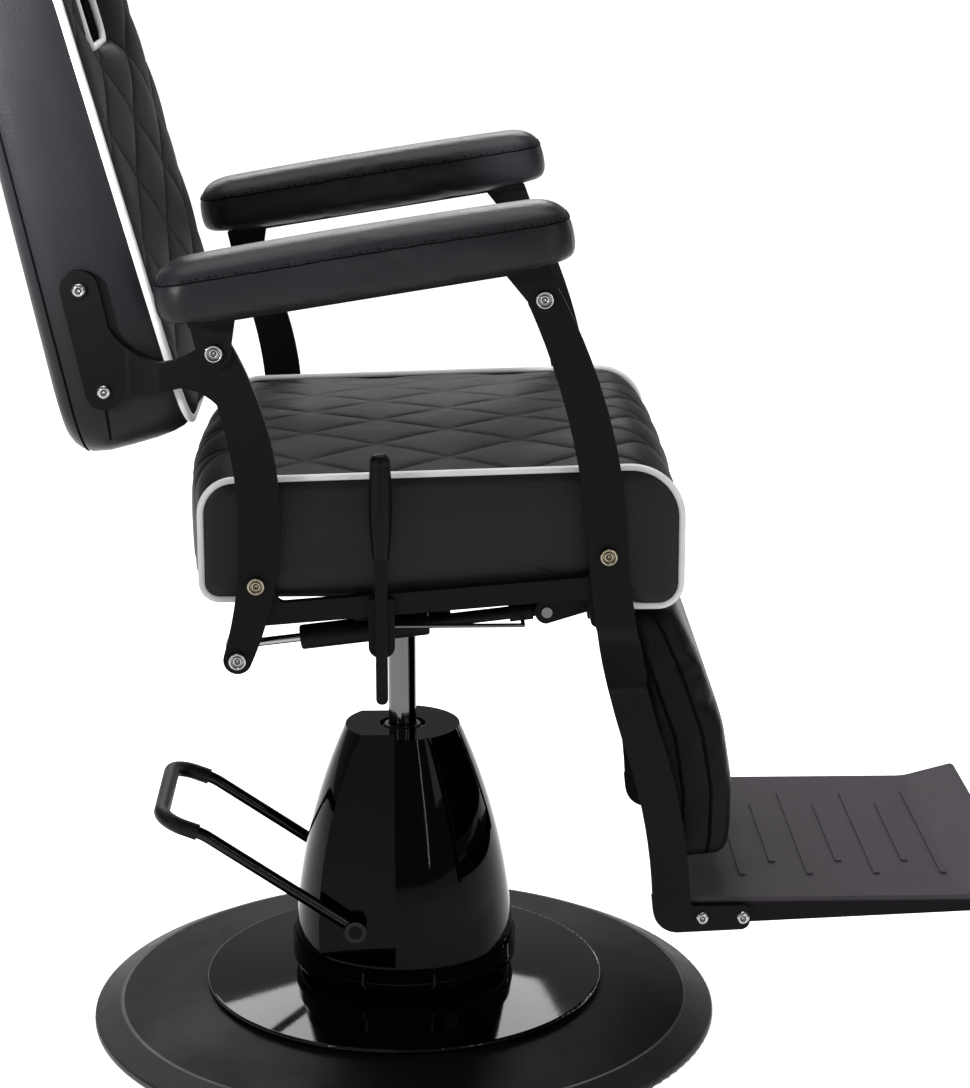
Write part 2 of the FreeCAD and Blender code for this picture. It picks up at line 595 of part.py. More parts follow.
def swivel_mount():
    low = size("socket_height")
    bore = size("spigot_radius") + size("running_clearance")
    flange = low + size("socket_flange")
    keep("swivel_socket", turned("SwivelSocket", rounded([
        (bore, low, 0), (size("socket_flange_radius"), low, 2), (size("socket_flange_radius"), flange, 0),
        (size("socket_radius"), flange, 0), (size("socket_radius"), flange + size("socket_length"), 2),
        (bore, flange + size("socket_length"), 0)])))
    half_x, half_y = size("mount_length") / 2, size("mount_width") / 2
    corner, bend = size("mount_corner"), size("riser_corner")
    plate = prism("MountPlate", "XY_Plane", [rounded([
        (-half_x, -half_y, corner), (half_x, -half_y, corner), (half_x, half_y, corner),
        (-half_x, half_y, corner)])], "Sizes.mount_thickness",
        [(0, 0, "Sizes.socket_radius")] + [(x, y, "Sizes.bolt_radius") for x, y in mount_spots()])
    plate.Placement = Placement(Vector(0, 0, mount_top - size("mount_thickness") / 2), Rotation())
    keep("mount_plate", plate)

    foot, head = size("riser_foot") / 2, size("riser_head") / 2
    riser = prism("MountRiser", "XZ_Plane", [rounded([
        (-foot, 0, 0), (foot, 0, 0), (head, size("riser_height"), bend), (-head, size("riser_height"), bend)])],
        "Sizes.riser_width")
    cut_holes(riser, "XY_Plane", [(0, 0, "Sizes.socket_radius")]
              + [(x, y, "Sizes.bolt_radius") for x, y in mount_spots()])
    riser.Placement = Placement(Vector(0, 0, mount_top), Rotation())
    keep("mount_riser", riser)

    shapes = []
    for x, y in mount_spots():
        bolt = bolt_shape(Vector(0, 0, 0), -1, size("mount_thickness") + size("riser_height") * 0.6,
                          size("bolt_radius"))
        bolt.rotate(Vector(0, 0, 0), Vector(1, 0, 0), 90)
        bolt.translate(Vector(x, y, mount_top - size("mount_thickness")))
        shapes.append(bolt)
    keep("mount_bolts", formed("MountBolts", Part.makeCompound(shapes)))


def mount_spots():
    half_x = size("riser_head") / 2 - size("mount_bolt_edge")
    half_y = size("riser_width") / 2 - size("mount_bolt_edge")
    return [(i * half_x, j * half_y) for i in (-1, 1) for j in (-1, 1)]


def hollow_bar(name, length, width, height, corner, along):
    """A rectangular tube along X or Y, open at its ends."""
    wall = size("tube_wall")
    shell = box(name, length, width, height, corner)
    if along == "X":
        step = Vector(0, wall, wall)
        hollow = box(name + "Bore", length, width + " - 2 * Sizes.tube_wall", height + " - 2 * Sizes.tube_wall",
                     corner + step)
    else:
        step = Vector(wall, 0, wall)
        hollow = box(name + "Bore", length + " - 2 * Sizes.tube_wall", width, height + " - 2 * Sizes.tube_wall",
                     corner + step)
    return combine("Cut", shell, hollow)


def seat_frame():
    span = (front_pivot - rear_pivot).Length
    forward = (front_pivot - rear_pivot).normalize()
    up = turn_left(forward)

    def on_rail(s, t, radius):
        point = rear_pivot + forward * s + up * t
        return (point.x, point.y, radius)

    ear, corner, toe = size("ear_radius"), size("rail_corner"), size("rail_foot_corner")
    rise = span + ear - size("rail_foot_width")
    top, low = -size("rail_drop"), -size("rail_drop") - size("rail_height")
    foot = (size("rail_foot") - front_pivot.y) / up.y
    outline = rounded([
        on_rail(-ear, ear, ear), on_rail(-ear, low, corner), on_rail(rise, low, corner),
        on_rail(rise, foot, toe), on_rail(span + ear, foot, toe),
        on_rail(span + ear, ear, ear), on_rail(span - ear, ear, ear), on_rail(span - ear, top, corner),
        on_rail(ear, top, corner), on_rail(ear, ear, ear)])
    holes = [(p.x, p.y, "Sizes.bolt_radius") for p in (rear_pivot, front_pivot)]
    for name, hand in SIDES.items():
        rail = prism("SideRail", "XZ_Plane", [outline], "Sizes.rail_thickness", holes)
        rail.Placement = Placement(Vector(0, hand * (rail_outer - size("rail_thickness") / 2), 0), Rotation())
        keep("side_rail_" + name, rail)

    bars = []
    for x in (size("cross_front_x"), size("cross_rear_x")):
        corner = Vector(x - size("cross_width") / 2, -size("rail_inner"), bearer_top)
        bars.append(hollow_bar("CrossMember", "Sizes.cross_width", "2 * Sizes.rail_inner", "Sizes.cross_height",
                               corner, "Y"))
    keep("cross_members", gather("Compound", bars))
    bars = []
    for hand in SIDES.values():
        corner = Vector(size("bearer_back"), hand * size("bearer_y") - size("bearer_size") / 2,
                        bearer_top - size("bearer_size"))
        bars.append(hollow_bar("Bearer", "Sizes.cross_front_x + Sizes.cross_width / 2 - Sizes.bearer_back",
                               "Sizes.bearer_size", "Sizes.bearer_size", corner, "X"))
    keep("bearers", gather("Compound", bars))

    board = box("SeatBoard", "Sizes.seat_board_front - Sizes.seat_board_back",
                "2 * Sizes.seat_board_half_width", "Sizes.seat_board_thickness",
                Vector(size("seat_board_back"), -size("seat_board_half_width"), cross_top))
    keep("seat_board", board)

    inner = size("bolt_radius")
    rings = []
    for hand in SIDES.values():
        for point in (rear_pivot, front_pivot):
            start = Vector(point.x, hand * rail_outer, point.y)
            out = Vector(0, hand, 0)
            thick = size("plate_gap") - size("washer_slack")
            disc = Part.makeCylinder(size("bolt_head_radius"), thick, start, out)
            rings.append(disc.cut(Part.makeCylinder(inner, thick, start, out)))
    keep("pivot_washers", formed("PivotWashers", Part.makeCompound(rings)))
    head = link_outer + size("washer_slack")
    places = [(p.x, hand * head, p.y) for p in (rear_pivot, front_pivot) for hand in SIDES.values()]
    bolts("lower_pivot_bolts", places, head - size("rail_inner"), size("bolt_radius"))


def seat_profile(grow):
    """Side view of the seat cushion, drawn out all round except below."""
    droop = size("seat_droop")
    clear = size("cross_front_x") + size("cross_width") / 2 + droop
    rear, front = size("seat_back") - 1.5 * grow, size("seat_front") + 0.3 * grow
    return rounded([
        (rear, cross_top, size("seat_low_corner")), (clear, cross_top, 0), (clear + droop, cross_top - droop, 0),
        (front, cross_top - droop, size("seat_front_low_corner")),
        (front, size("seat_top_front") + grow, size("seat_front_corner")),
        (rear, size("seat_top_rear") + grow, size("seat_corner"))])


def groove(length, width, depth):
    """A long V-shaped cutter along X, its sharp edge at depth below Z = 0."""
    half = width / 2
    face = Part.Face(Part.makePolygon([
        Vector(-length / 2, -half * 2, depth), Vector(-length / 2, half * 2, depth),
        Vector(-length / 2, 0, -depth), Vector(-length / 2, -half * 2, depth)]))
    return face.extrude(Vector(length, 0, 0))


def quilting(length, width, pitch_long, pitch_wide, groove_width, depth):
    """Crossing grooves that quilt a face of length by width, centred on the origin, into diamonds."""
    angle = math.degrees(math.atan2(pitch_wide, pitch_long))
    step = pitch_wide * math.cos(math.radians(angle))
    reach = math.hypot(length, width) / 2
    count = int(reach / step)
    cutters = []
    for turn in (angle, -angle):
        for i in range(-count, count + 1):
            offset = (i + 0.5) * step
            cutter = groove(2 * reach, groove_width, depth)
            cutter.translate(Vector(0, offset, 0))
            cutter.rotate(Vector(0, 0, 0), Vector(0, 0, 1), turn)
            cutters.append(cutter)
    frame = Part.makeBox(length, width, 4 * depth, Vector(-length / 2, -width / 2, -2 * depth))
    return Part.makeCompound([cutter.common(frame) for cutter in cutters])


def seat_cushion():
    flat_half, half = size("seat_flat_half_width"), size("seat_half_width")
    full = half + size("seat_bulge")
    crown = size("seat_crown")
    shapes = [loft([(seat_profile(crown), layer("Y", y)) for y in (-flat_half, flat_half)])]
    for hand in SIDES.values():
        shapes.append(loft([(seat_profile(crown), layer("Y", hand * flat_half)),
                            (seat_profile(crown * 0.6), layer("Y", hand * (flat_half + half) / 2)),
                            (seat_profile(0), layer("Y", hand * half))]))
        shapes.append(loft([(seat_profile(0), layer("Y", hand * half)),
                            (seat_profile(-size("seat_bulge")), layer("Y", hand * full))]))
    cushion = joined(shapes)
    length = size("seat_front") - size("seat_back")
    rise = size("seat_top_front") - size("seat_top_rear")
    tilt = math.degrees(math.atan2(rise, length))
    cutters = quilting(length - size("seat_corner"), 2 * half, size("quilt_pitch_long"), size("quilt_pitch_wide"),
                       size("quilt_width"), size("quilt_depth"))
    middle = Vector((size("seat_front") + size("seat_back")) / 2, 0,
                    (size("seat_top_front") + size("seat_top_rear")) / 2 + crown)
    cutters.Placement = Placement(middle, Rotation(Vector(0, 1, 0), -tilt))
    cushion = cushion.cut(cutters.Solids)
    recess = Part.makeBox(size("seat_board_front") - size("seat_board_back"), 2 * size("seat_board_half_width"),
                          2 * size("seat_board_thickness"),
                          Vector(size("seat_board_back"), -size("seat_board_half_width"),
                                 cross_top - size("seat_board_thickness")))
    keep("seat_cushion", formed("SeatCushion", cushion.cut(recess)))


back_place = Placement(Vector(size("back_foot_x"), 0, size("back_foot_z")),
                       Rotation(Vector(0, -1, 0), size("back_slope")))


def rear_plates():
    top = flat(size("back_bolt_top_x"), size("back_bolt_top_z"))
    low = flat(size("back_bolt_low_x"), size("back_bolt_low_z"))
    pad = size("back_pad_radius")
    link = ribbon([
        (upper_rear.x, upper_rear.y, size("rear_boss_radius")),
        (rear_pivot.x, rear_pivot.y, size("rear_link_half_width")),
        (lower_rear.x, lower_rear.y, size("rear_end_radius"))])
    down = (low - top).normalize()
    side = turn_left(down)
    joint = top + (low - top) * 0.62
    arm = size("arm_half_height")
    arm_head = joint + side * pad * 0.5
    neck = flat(upper_rear.x - size("rear_boss_radius") * 1.5, upper_rear.y - arm * 1.1)
    throat = flat(upper_rear.x + size("rear_boss_radius") * 0.9, upper_rear.y - arm * 4.2)
    arm_outline = lines_and_arcs([
        (flat(arm_head.x, arm_head.y + arm * 1.6),),
        (flat((arm_head.x + neck.x) / 2, neck.y + arm * 0.66), flat(neck.x, neck.y + arm * 0.95)),
        (flat(upper_rear.x, upper_rear.y + size("rear_boss_radius") * 0.6),),
        (throat,),
        (flat(neck.x + arm * 0.85, neck.y - arm), flat(neck.x - arm * 0.4, neck.y - arm * 0.55)),
        (flat(low.x, low.y - pad * 0.6),)])
    stadium = ribbon([(top.x, top.y, pad), ((top.x + low.x) / 2, (top.y + low.y) / 2, pad), (low.x, low.y, pad)])
    holes = [(p.x, p.y, "Sizes.bolt_radius") for p in (upper_rear, lower_rear, top, low)]
    holes.append((rear_pivot.x, rear_pivot.y, "Sizes.bolt_radius + Sizes.running_clearance"))
    blank = prism("RearPlateBlank", "XZ_Plane", [link, arm_outline, stadium],
                  "2 * (Sizes.rail_inner + Sizes.link_thickness * 4)", holes)
    thick = size("link_thickness")
    outer, inner = link_inner + thick / 2, size("back_plate_inner") + thick / 2
    for name, hand in SIDES.items():
        sheet_outline = strip([(top.x - 3 * pad, hand * inner), (size("crank_back_x"), hand * inner),
                               (size("crank_front_x"), hand * outer), (rear_pivot.x + 4 * pad, hand * outer)],
                              thick, size("bend_radius"))
        bent = prism("RearPlateSheet", "XY_Plane", [sheet_outline], "4 * Sizes.upper_rear_z")
        keep("rear_plate_" + name, combine("Common", blank, bent))

    head = size("back_plate_inner") + thick
    places = [(p.x, hand * head, p.y) for p in (top, low) for hand in SIDES.values()]
    bolts("back_plate_bolts", places, thick * 3.5, size("bolt_radius"))
    head = tab_outer + size("washer_slack")
    places = [(upper_rear.x, hand * head, upper_rear.y) for hand in SIDES.values()]
    bolts("upper_rear_bolts", places, head - link_inner, size("bolt_radius"))
    places = [(lower_rear.x, hand * link_outer, lower_rear.y) for hand in SIDES.values()]
    bolts("crossbar_bolts", places, thick * 3, size("bolt_radius"))

    bar = Part.makeCylinder(size("crossbar_radius"), 2 * link_inner,
                            Vector(lower_rear.x, -link_inner, lower_rear.y),
                            Vector(0, 1, 0))
    for hand in SIDES.values():
        start = Vector(lower_rear.x, hand * link_inner, lower_rear.y)
        bar = bar.cut(Part.makeCylinder(size("bolt_radius"), thick * 2, start, Vector(0, -hand, 0)))
    keep("recline_crossbar", formed("ReclineCrossbar", bar))


def back_face(inset, top=None):
    """Front view of the backrest, drawn in all round."""
    half = size("back_half_width") - inset
    low, high = inset, (top or size("back_height")) - inset
    corner, top_corner = size("back_corner"), size("back_top_corner")
    return rounded([(-half, low, corner), (half, low, corner),
                    (half, high, top_corner), (-half, high, top_corner)])


def tilted_layer(low, high):
    """Matrix that stands a front view at x = low at its foot, leaning to x = high at the backrest's height."""
    lean = math.degrees(math.atan2(high - low, size("back_height")))
    return Placement(Vector(low, 0, 0), Rotation(Vector(0, 1, 0), lean) * Rotation(0.5, 0.5, 0.5, 0.5)).toMatrix()


def through_back(y):
    """A slot's cutter, right through the backrest."""
    half, tall, corner = size("slot_half_width"), size("slot_height"), size("slot_corner")
    low = size("slot_low")
    outline = rounded([(y - half, low, corner), (y + half, low, corner), (y + half, low + tall, corner),
                       (y - half, low + tall, corner)])
    deep = 3 * size("back_depth_low")
    return loft([(outline, layer("X", -deep)), (outline, layer("X", deep))])


def banded(shape):
    """The shape as a lower body, an upper body and the three posts beside the slots, meeting face to face."""
    reach = 2 * size("back_height")
    low, high = size("slot_low"), size("slot_low") + size("slot_height")
    bands = [Part.makeBox(2 * reach, 2 * reach, top - foot, Vector(-reach, -reach, foot))
             for foot, top in ((-reach, low), (low, high), (high, reach))]
    return Part.makeCompound([solid for band in bands for solid in shape.common(band).Solids])


def backrest():
    bulge = size("back_bulge")
    deep, shallow = size("back_depth_low"), size("back_depth_high")
    inset = size("back_rear_inset")
    shell = joined([
        loft([(back_face(0), layer("X", 0)), (back_face(-bulge), tilted_layer(-deep * 0.3, -shallow * 0.3))]),
        loft([(back_face(-bulge), tilted_layer(-deep * 0.3, -shallow * 0.3)),
              (back_face(-bulge), tilted_layer(-deep * 0.7, -shallow * 0.7)),
              (back_face(inset * 0.3), tilted_layer(-deep * 0.93, -shallow * 0.93)),
              (back_face(inset), tilted_layer(-deep, -shallow))])])
    thick, rim = size("back_board_thickness"), size("back_board_inset")
    board = loft([(back_face(rim), layer("X", -thick)), (back_face(rim), layer("X", 0))])
    crown = size("back_crown")
    cushion = loft([(back_face(0), layer("X", 0)), (back_face(size("back_edge_inset")), layer("X", crown * 0.4)),
                    (back_face(size("back_round_inset")), layer("X", crown * 0.8)),
                    (back_face(size("back_crown_inset")), layer("X", crown))])
    cutters = quilting(size("back_height"), 2 * size("back_half_width"), size("tuft_pitch_high"),
                       size("tuft_pitch_wide"), size("tuft_width"), size("tuft_depth"))
    cutters.Placement = Placement(Vector(crown, 0, size("back_height") / 2), Rotation(Vector(0, 1, 0), 90))
    cushion = cushion.cut(cutters.Solids)
    slots = [through_back(hand * size("slot_y")) for hand in SIDES.values()]
    guides = []
    guide_top = size("back_height")
    for hand in SIDES.values():
        place = Vector(-size("post_set_back"), hand * size("post_y"), guide_top - size("guide_length"))
        guides.append(Part.makeCylinder(size("guide_radius"), 2 * size("guide_length"), place))
    shell = shell.cut([board] + slots + guides)
    unplace = back_place.inverse()
    reach = size("link_thickness") * 4
    for x, z in (("back_bolt_top_x", "back_bolt_top_z"), ("back_bolt_low_x", "back_bolt_low_z")):
        for hand in SIDES.values():
            start = Vector(size(x), hand * (size("back_plate_inner") + reach), size(z))
            hole = Part.makeCylinder(size("bolt_radius"), 2 * reach, start, Vector(0, -hand, 0))
            hole.Placement = unplace * hole.Placement
            shell = shell.cut(hole)
    keep("back_shell", formed("BackShell", banded(shell), back_place))
    keep("back_board", formed("BackBoard", board.cut(slots), back_place))
    keep("back_cushion", formed("BackCushion", banded(cushion.cut(slots)), back_place))

    run = size("post_radius") + size("running_clearance")
    tubes = []
    for hand in SIDES.values():
        place = Vector(-size("post_set_back"), hand * size("post_y"), guide_top - size("guide_length"))
        sleeve = Part.makeCylinder(size("guide_radius"), size("guide_length"), place)
        tubes.append(sleeve.cut(Part.makeCylinder(run, size("guide_length"), place)))
    keep("headrest_guides", formed("HeadrestGuides", Part.makeCompound(tubes), back_place))


def headrest():
    low = size("back_height") + size("head_gap")
    high = low + size("head_height")
    half, corner = size("head_half_width"), size("head_corner")
    depth = size("head_depth")
    front = depth * 0.4

    def face(inset):
        return rounded([(-half + inset, low + inset, corner), (half - inset, low + inset, corner),
                        (half - inset, high - inset, corner), (-half + inset, high - inset, corner)])

    rear = front - depth
    shapes = loft([(face(size("head_rear_inset")), layer("X", rear)),
                   (face(size("head_side_inset")), layer("X", rear + depth * 0.1)),
                   (face(0), layer("X", rear + depth * 0.3)), (face(0), layer("X", front - depth * 0.35)),
                   (face(size("head_edge_inset")), layer("X", front - depth * 0.12)),
                   (face(size("head_crown_inset")), layer("X", front))])
    posts = []
    for hand in SIDES.values():
        top = Vector(-size("post_set_back"), hand * size("post_y"), low + size("head_height") * 0.5)
        posts.append(Part.makeCylinder(size("post_radius"), size("post_length"), top, Vector(0, 0, -1)))
    keep("headrest_posts", formed("HeadrestPosts", Part.makeCompound(posts), back_place))
    keep("headrest_pad", formed("HeadrestPad", shapes.cut(posts), back_place))


def armrests():
    along = (upper_front - upper_rear).normalize()
    angle = math.degrees(math.atan2(along.y, along.x))
    span = (upper_front - upper_rear).Length
    base_place = Placement(Vector(upper_rear.x, 0, upper_rear.y), Rotation(Vector(0, -1, 0), angle))
    back, front = -size("armrest_back"), span + size("armrest_front")
    half, corner = size("armrest_width") / 2, size("armrest_corner")
    low, tall = size("armrest_rise"), size("armrest_height")

    def plan(centre, inset):
        bend = corner - 0.6 * inset
        return rounded([(back + inset, centre - half + inset, bend), (front - inset, centre - half + inset, bend),
                        (front - inset, centre + half - inset, bend), (back + inset, centre + half - inset, bend)])

    radius = size("tab_end_radius")
    strip_low = low - size("strip_thickness")
    top_half = size("tab_top_width") / 2
    for name, hand in SIDES.items():
        centre = hand * size("armrest_centre")
        levels = [(0, size("armrest_low_inset")), (0.12, 0), (0.62, 0), (0.88, size("armrest_edge_inset")),
                  (1, size("armrest_crown_inset"))]
        pad = loft([(plan(centre, inset), layer("Z", low + share * tall)) for share, inset in levels])
        keep("armrest_pad_" + name, formed("ArmrestPad", pad, base_place))

        tabs = []
        for s, shift, hole in ((0, size("tab_rear_shift"), size("running_clearance")),
                               (span, -size("tab_front_shift"), size("open_pivot_clearance"))):
            outline = lines_and_arcs([
                (flat(s + shift - top_half, strip_low + 1),), (flat(s - radius, 0),),
                (flat(s, -radius), flat(s + radius, 0)), (flat(s + shift + top_half, strip_low + 1),)])
            tab = loft([(outline, layer("Y", hand * y)) for y in (tab_inner, tab_outer)])
            bore = Part.makeCylinder(size("bolt_radius") + hole, 4 * tab_outer, Vector(s, -2 * tab_outer, 0),
                                     Vector(0, 1, 0))
            tabs.append(tab.cut(bore))
        rest = Part.makeBox(front - back - 2 * size("strip_inset"), size("strip_width"), size("strip_thickness"),
                            Vector(back + size("strip_inset"), centre - size("strip_width") / 2, strip_low))
        keep("armrest_bracket_" + name, formed("ArmrestBracket", joined([rest] + tabs), base_place))


def leg_plates():
    half = size("leg_half_width")
    spine = ribbon([
        (upper_front.x, upper_front.y, size("leg_top_radius")), (size("leg_knee_x"), size("leg_knee_z"), half),
        (front_pivot.x, front_pivot.y, half), (size("leg_shin_x"), size("leg_shin_z"), half),
        (size("leg_calf_x"), size("leg_calf_z"), half), (size("leg_ankle_x"), size("leg_ankle_z"), half),
        (size("leg_heel_x"), size("leg_heel_z"), half)])
    heel = size("leg_heel_x") - half
    tip = heel + size("toe_length")
    sole, toe_top = size("toe_sole"), size("toe_sole") + size("toe_height")
    toe = rounded([
        (heel - size("heel_lean") / 3, size("leg_heel_z"), 0),
        (heel + size("heel_lean"), sole, size("toe_corner")),
        (tip, sole + size("toe_lift"), size("toe_low_corner")), (tip, toe_top, size("toe_top_corner")),
        (heel + 2 * half, toe_top, size("toe_throat")), (heel + 2 * half, size("leg_heel_z"), 0)])
    holes = [(upper_front.x, upper_front.y, "Sizes.bolt_radius"),
             (front_pivot.x, front_pivot.y, "Sizes.bolt_radius + Sizes.running_clearance")]
    holes += [(size(x), size("foot_bolt_z"), "Sizes.foot_bolt_radius") for x in FOOT_BOLTS]
    blank = prism("LegPlateBlank", "XZ_Plane", [spine, toe],
                  "2 * (Sizes.rail_inner + Sizes.link_thickness * 4)", holes)
    thick = size("link_thickness")
    outer, inner = link_inner + thick / 2, size("leg_low_inner") + thick / 2
    for name, hand in SIDES.items():
        outline = strip([(hand * outer, upper_front.y + 3 * half), (hand * outer, size("leg_crank_top")),
                         (hand * inner, size("leg_crank_foot")), (hand * inner, sole - half)],
                        thick, size("leg_bend_radius"))
        bent = prism("LegPlateSheet", "YZ_Plane", [outline], "4 * Sizes.tray_front")
        keep("leg_plate_" + name, combine("Common", blank, bent))
    head = tab_outer + size("washer_slack")
    bolts("upper_front_bolts", [(upper_front.x, hand * head, upper_front.y) for hand in SIDES.values()],
          head - link_inner, size("bolt_radius"))
    head = size("leg_low_inner") + thick
    places = [(size(x), hand * head, size("foot_bolt_z")) for x in FOOT_BOLTS for hand in SIDES.values()]
    bolts("footrest_bolts", places, thick + size("tray_wall"), size("foot_bolt_radius"))


FOOT_BOLTS = ("foot_bolt_rear_x", "foot_bolt_front_x")


def tray_profile(inset):
    top = size("tray_top") - inset
    low = size("tray_top") - size("tray_skirt")
    back, front = size("tray_back") + inset, size("tray_front") - inset
    rise = size("tray_lip_rise")
    if inset:
        low -= inset
    return rounded([(back, low, 0), (front, low + rise * 0.9, 0),
                    (front, top + rise, 0 if inset else size("tray_lip_edge")),
                    (size("tray_lip_start"), top, size("tray_lip_bend")),
                    (back, top, 0 if inset else size("tray_edge"))])


def footrest():
    solid = prism("TrayForm", "XZ_Plane", [tray_profile(0)], "2 * Sizes.tray_half_width")
    hollow = prism("TrayHollow", "XZ_Plane", [tray_profile(size("tray_wall"))],
                   "2 * (Sizes.tray_half_width - Sizes.tray_wall)")
    treads = []
    count = int((size("tray_lip_start") - size("tread_first")) / size("tread_pitch")) + 1
    for i in range(count):
        reach = "tread_short" if i % 2 else "tread_long"
        x = size("tread_first") + i * size("tread_pitch")
        corner = Vector(x - size("tread_width") / 2, -size(reach), size("tray_top") - size("tray_wall") / 2)
        treads.append(box("Tread", "Sizes.tread_width", "2 * Sizes." + reach,
                          "Sizes.tread_height + Sizes.tray_wall / 2", corner))
    tray = gather("MultiFuse", [combine("Cut", solid, hollow)] + treads)
    shafts = [cylinder("TrayHole", "Sizes.foot_bolt_radius", "4 * Sizes.tray_half_width",
                       across(size(x), size("foot_bolt_z"), -2 * size("tray_half_width"))) for x in FOOT_BOLTS]
    keep("footrest_tray", combine("Cut", tray, gather("Compound", shafts)))


def calf_profile(inset, depth_share):
    """Side view of the calf pad: a straight back and a round front."""
    top = flat(size("calf_top_x"), size("calf_top_z"))
    low = flat(size("calf_low_x"), size("calf_low_z"))
    down = (low - top).normalize()
    front = turn_left(down)
    top_in, low_in = top + down * inset, low - down * inset
    middle = (top + low) * 0.5
    return lines_and_arcs([
        (top_in,), (low_in,), (low_in + front * (size("calf_depth_low") * depth_share - inset / 2),),
        (middle + front * size("calf_depth_mid") * depth_share,
         top_in + front * (size("calf_depth_top") * depth_share - inset / 2))])


def calf_rest():
    flat_half, half = size("calf_flat_half_width"), size("calf_half_width")
    shapes = [loft([(calf_profile(0, 1), layer("Y", y)) for y in (-flat_half, flat_half)])]
    for hand in SIDES.values():
        shapes.append(loft([(calf_profile(0, 1), layer("Y", hand * flat_half)),
                            (calf_profile(size("calf_inset") * 0.3, 0.9), layer("Y", hand * (flat_half + half) / 2)),
                            (calf_profile(size("calf_inset"), 0.7), layer("Y", hand * half))]))
    keep("calf_pad", formed("CalfPad", joined(shapes)))
    top = flat(size("calf_top_x"), size("calf_top_z"))
    low = flat(size("calf_low_x"), size("calf_low_z"))
    down = (low - top).normalize()
    rear = turn_left(down) * -size("calf_board_thickness")
    inset = down * size("calf_inset")
    corners = [top + inset, low - inset, low - inset + rear, top + inset + rear]
    board = prism("CalfBoard", "XZ_Plane", [rounded([(p.x, p.y, 0) for p in corners])],
                  "2 * Sizes.calf_flat_half_width")
    keep("calf_board", board)
    height = size("leg_tube_z")
    share = (top.y - height) / (top.y - low.y)
    lean = (low.x - top.x) / (top.y - low.y)
    face = top + (low - top) * share - flat(size("calf_board_thickness") * math.hypot(1, lean), 0)
    half_tall = 0.9 * size("leg_tube_radius")
    foot, head = height - half_tall, height + half_tall
    outline = rounded([(size("leg_tube_x"), foot, 0), (face.x + lean * half_tall, foot, 0),
                       (face.x - lean * half_tall, head, 0), (size("leg_tube_x"), head, 0)])
    welded = [Part.makeCylinder(size("leg_tube_radius"), 2 * size("leg_low_inner"),
                                Vector(size("leg_tube_x"), -size("leg_low_inner"), height), Vector(0, 1, 0))]
    for hand in SIDES.values():
        middle = hand * size("calf_bracket_y")
        width = size("calf_bracket_width") / 2
        welded.append(loft([(outline, layer("Y", middle - width)), (outline, layer("Y", middle + width))]))
    keep("leg_cross_tube", formed("LegCrossTube", joined(welded)))


# The rod's eye is loose on the crossbar, which swings in a shallow arc while the rod runs nearly straight
spring_rear = Vector(lower_rear.x, -size("spring_y"), lower_rear.y - size("eye_drop"))
spring_front = Vector(size("spring_front_x"), -size("spring_y"), size("spring_front_z"))


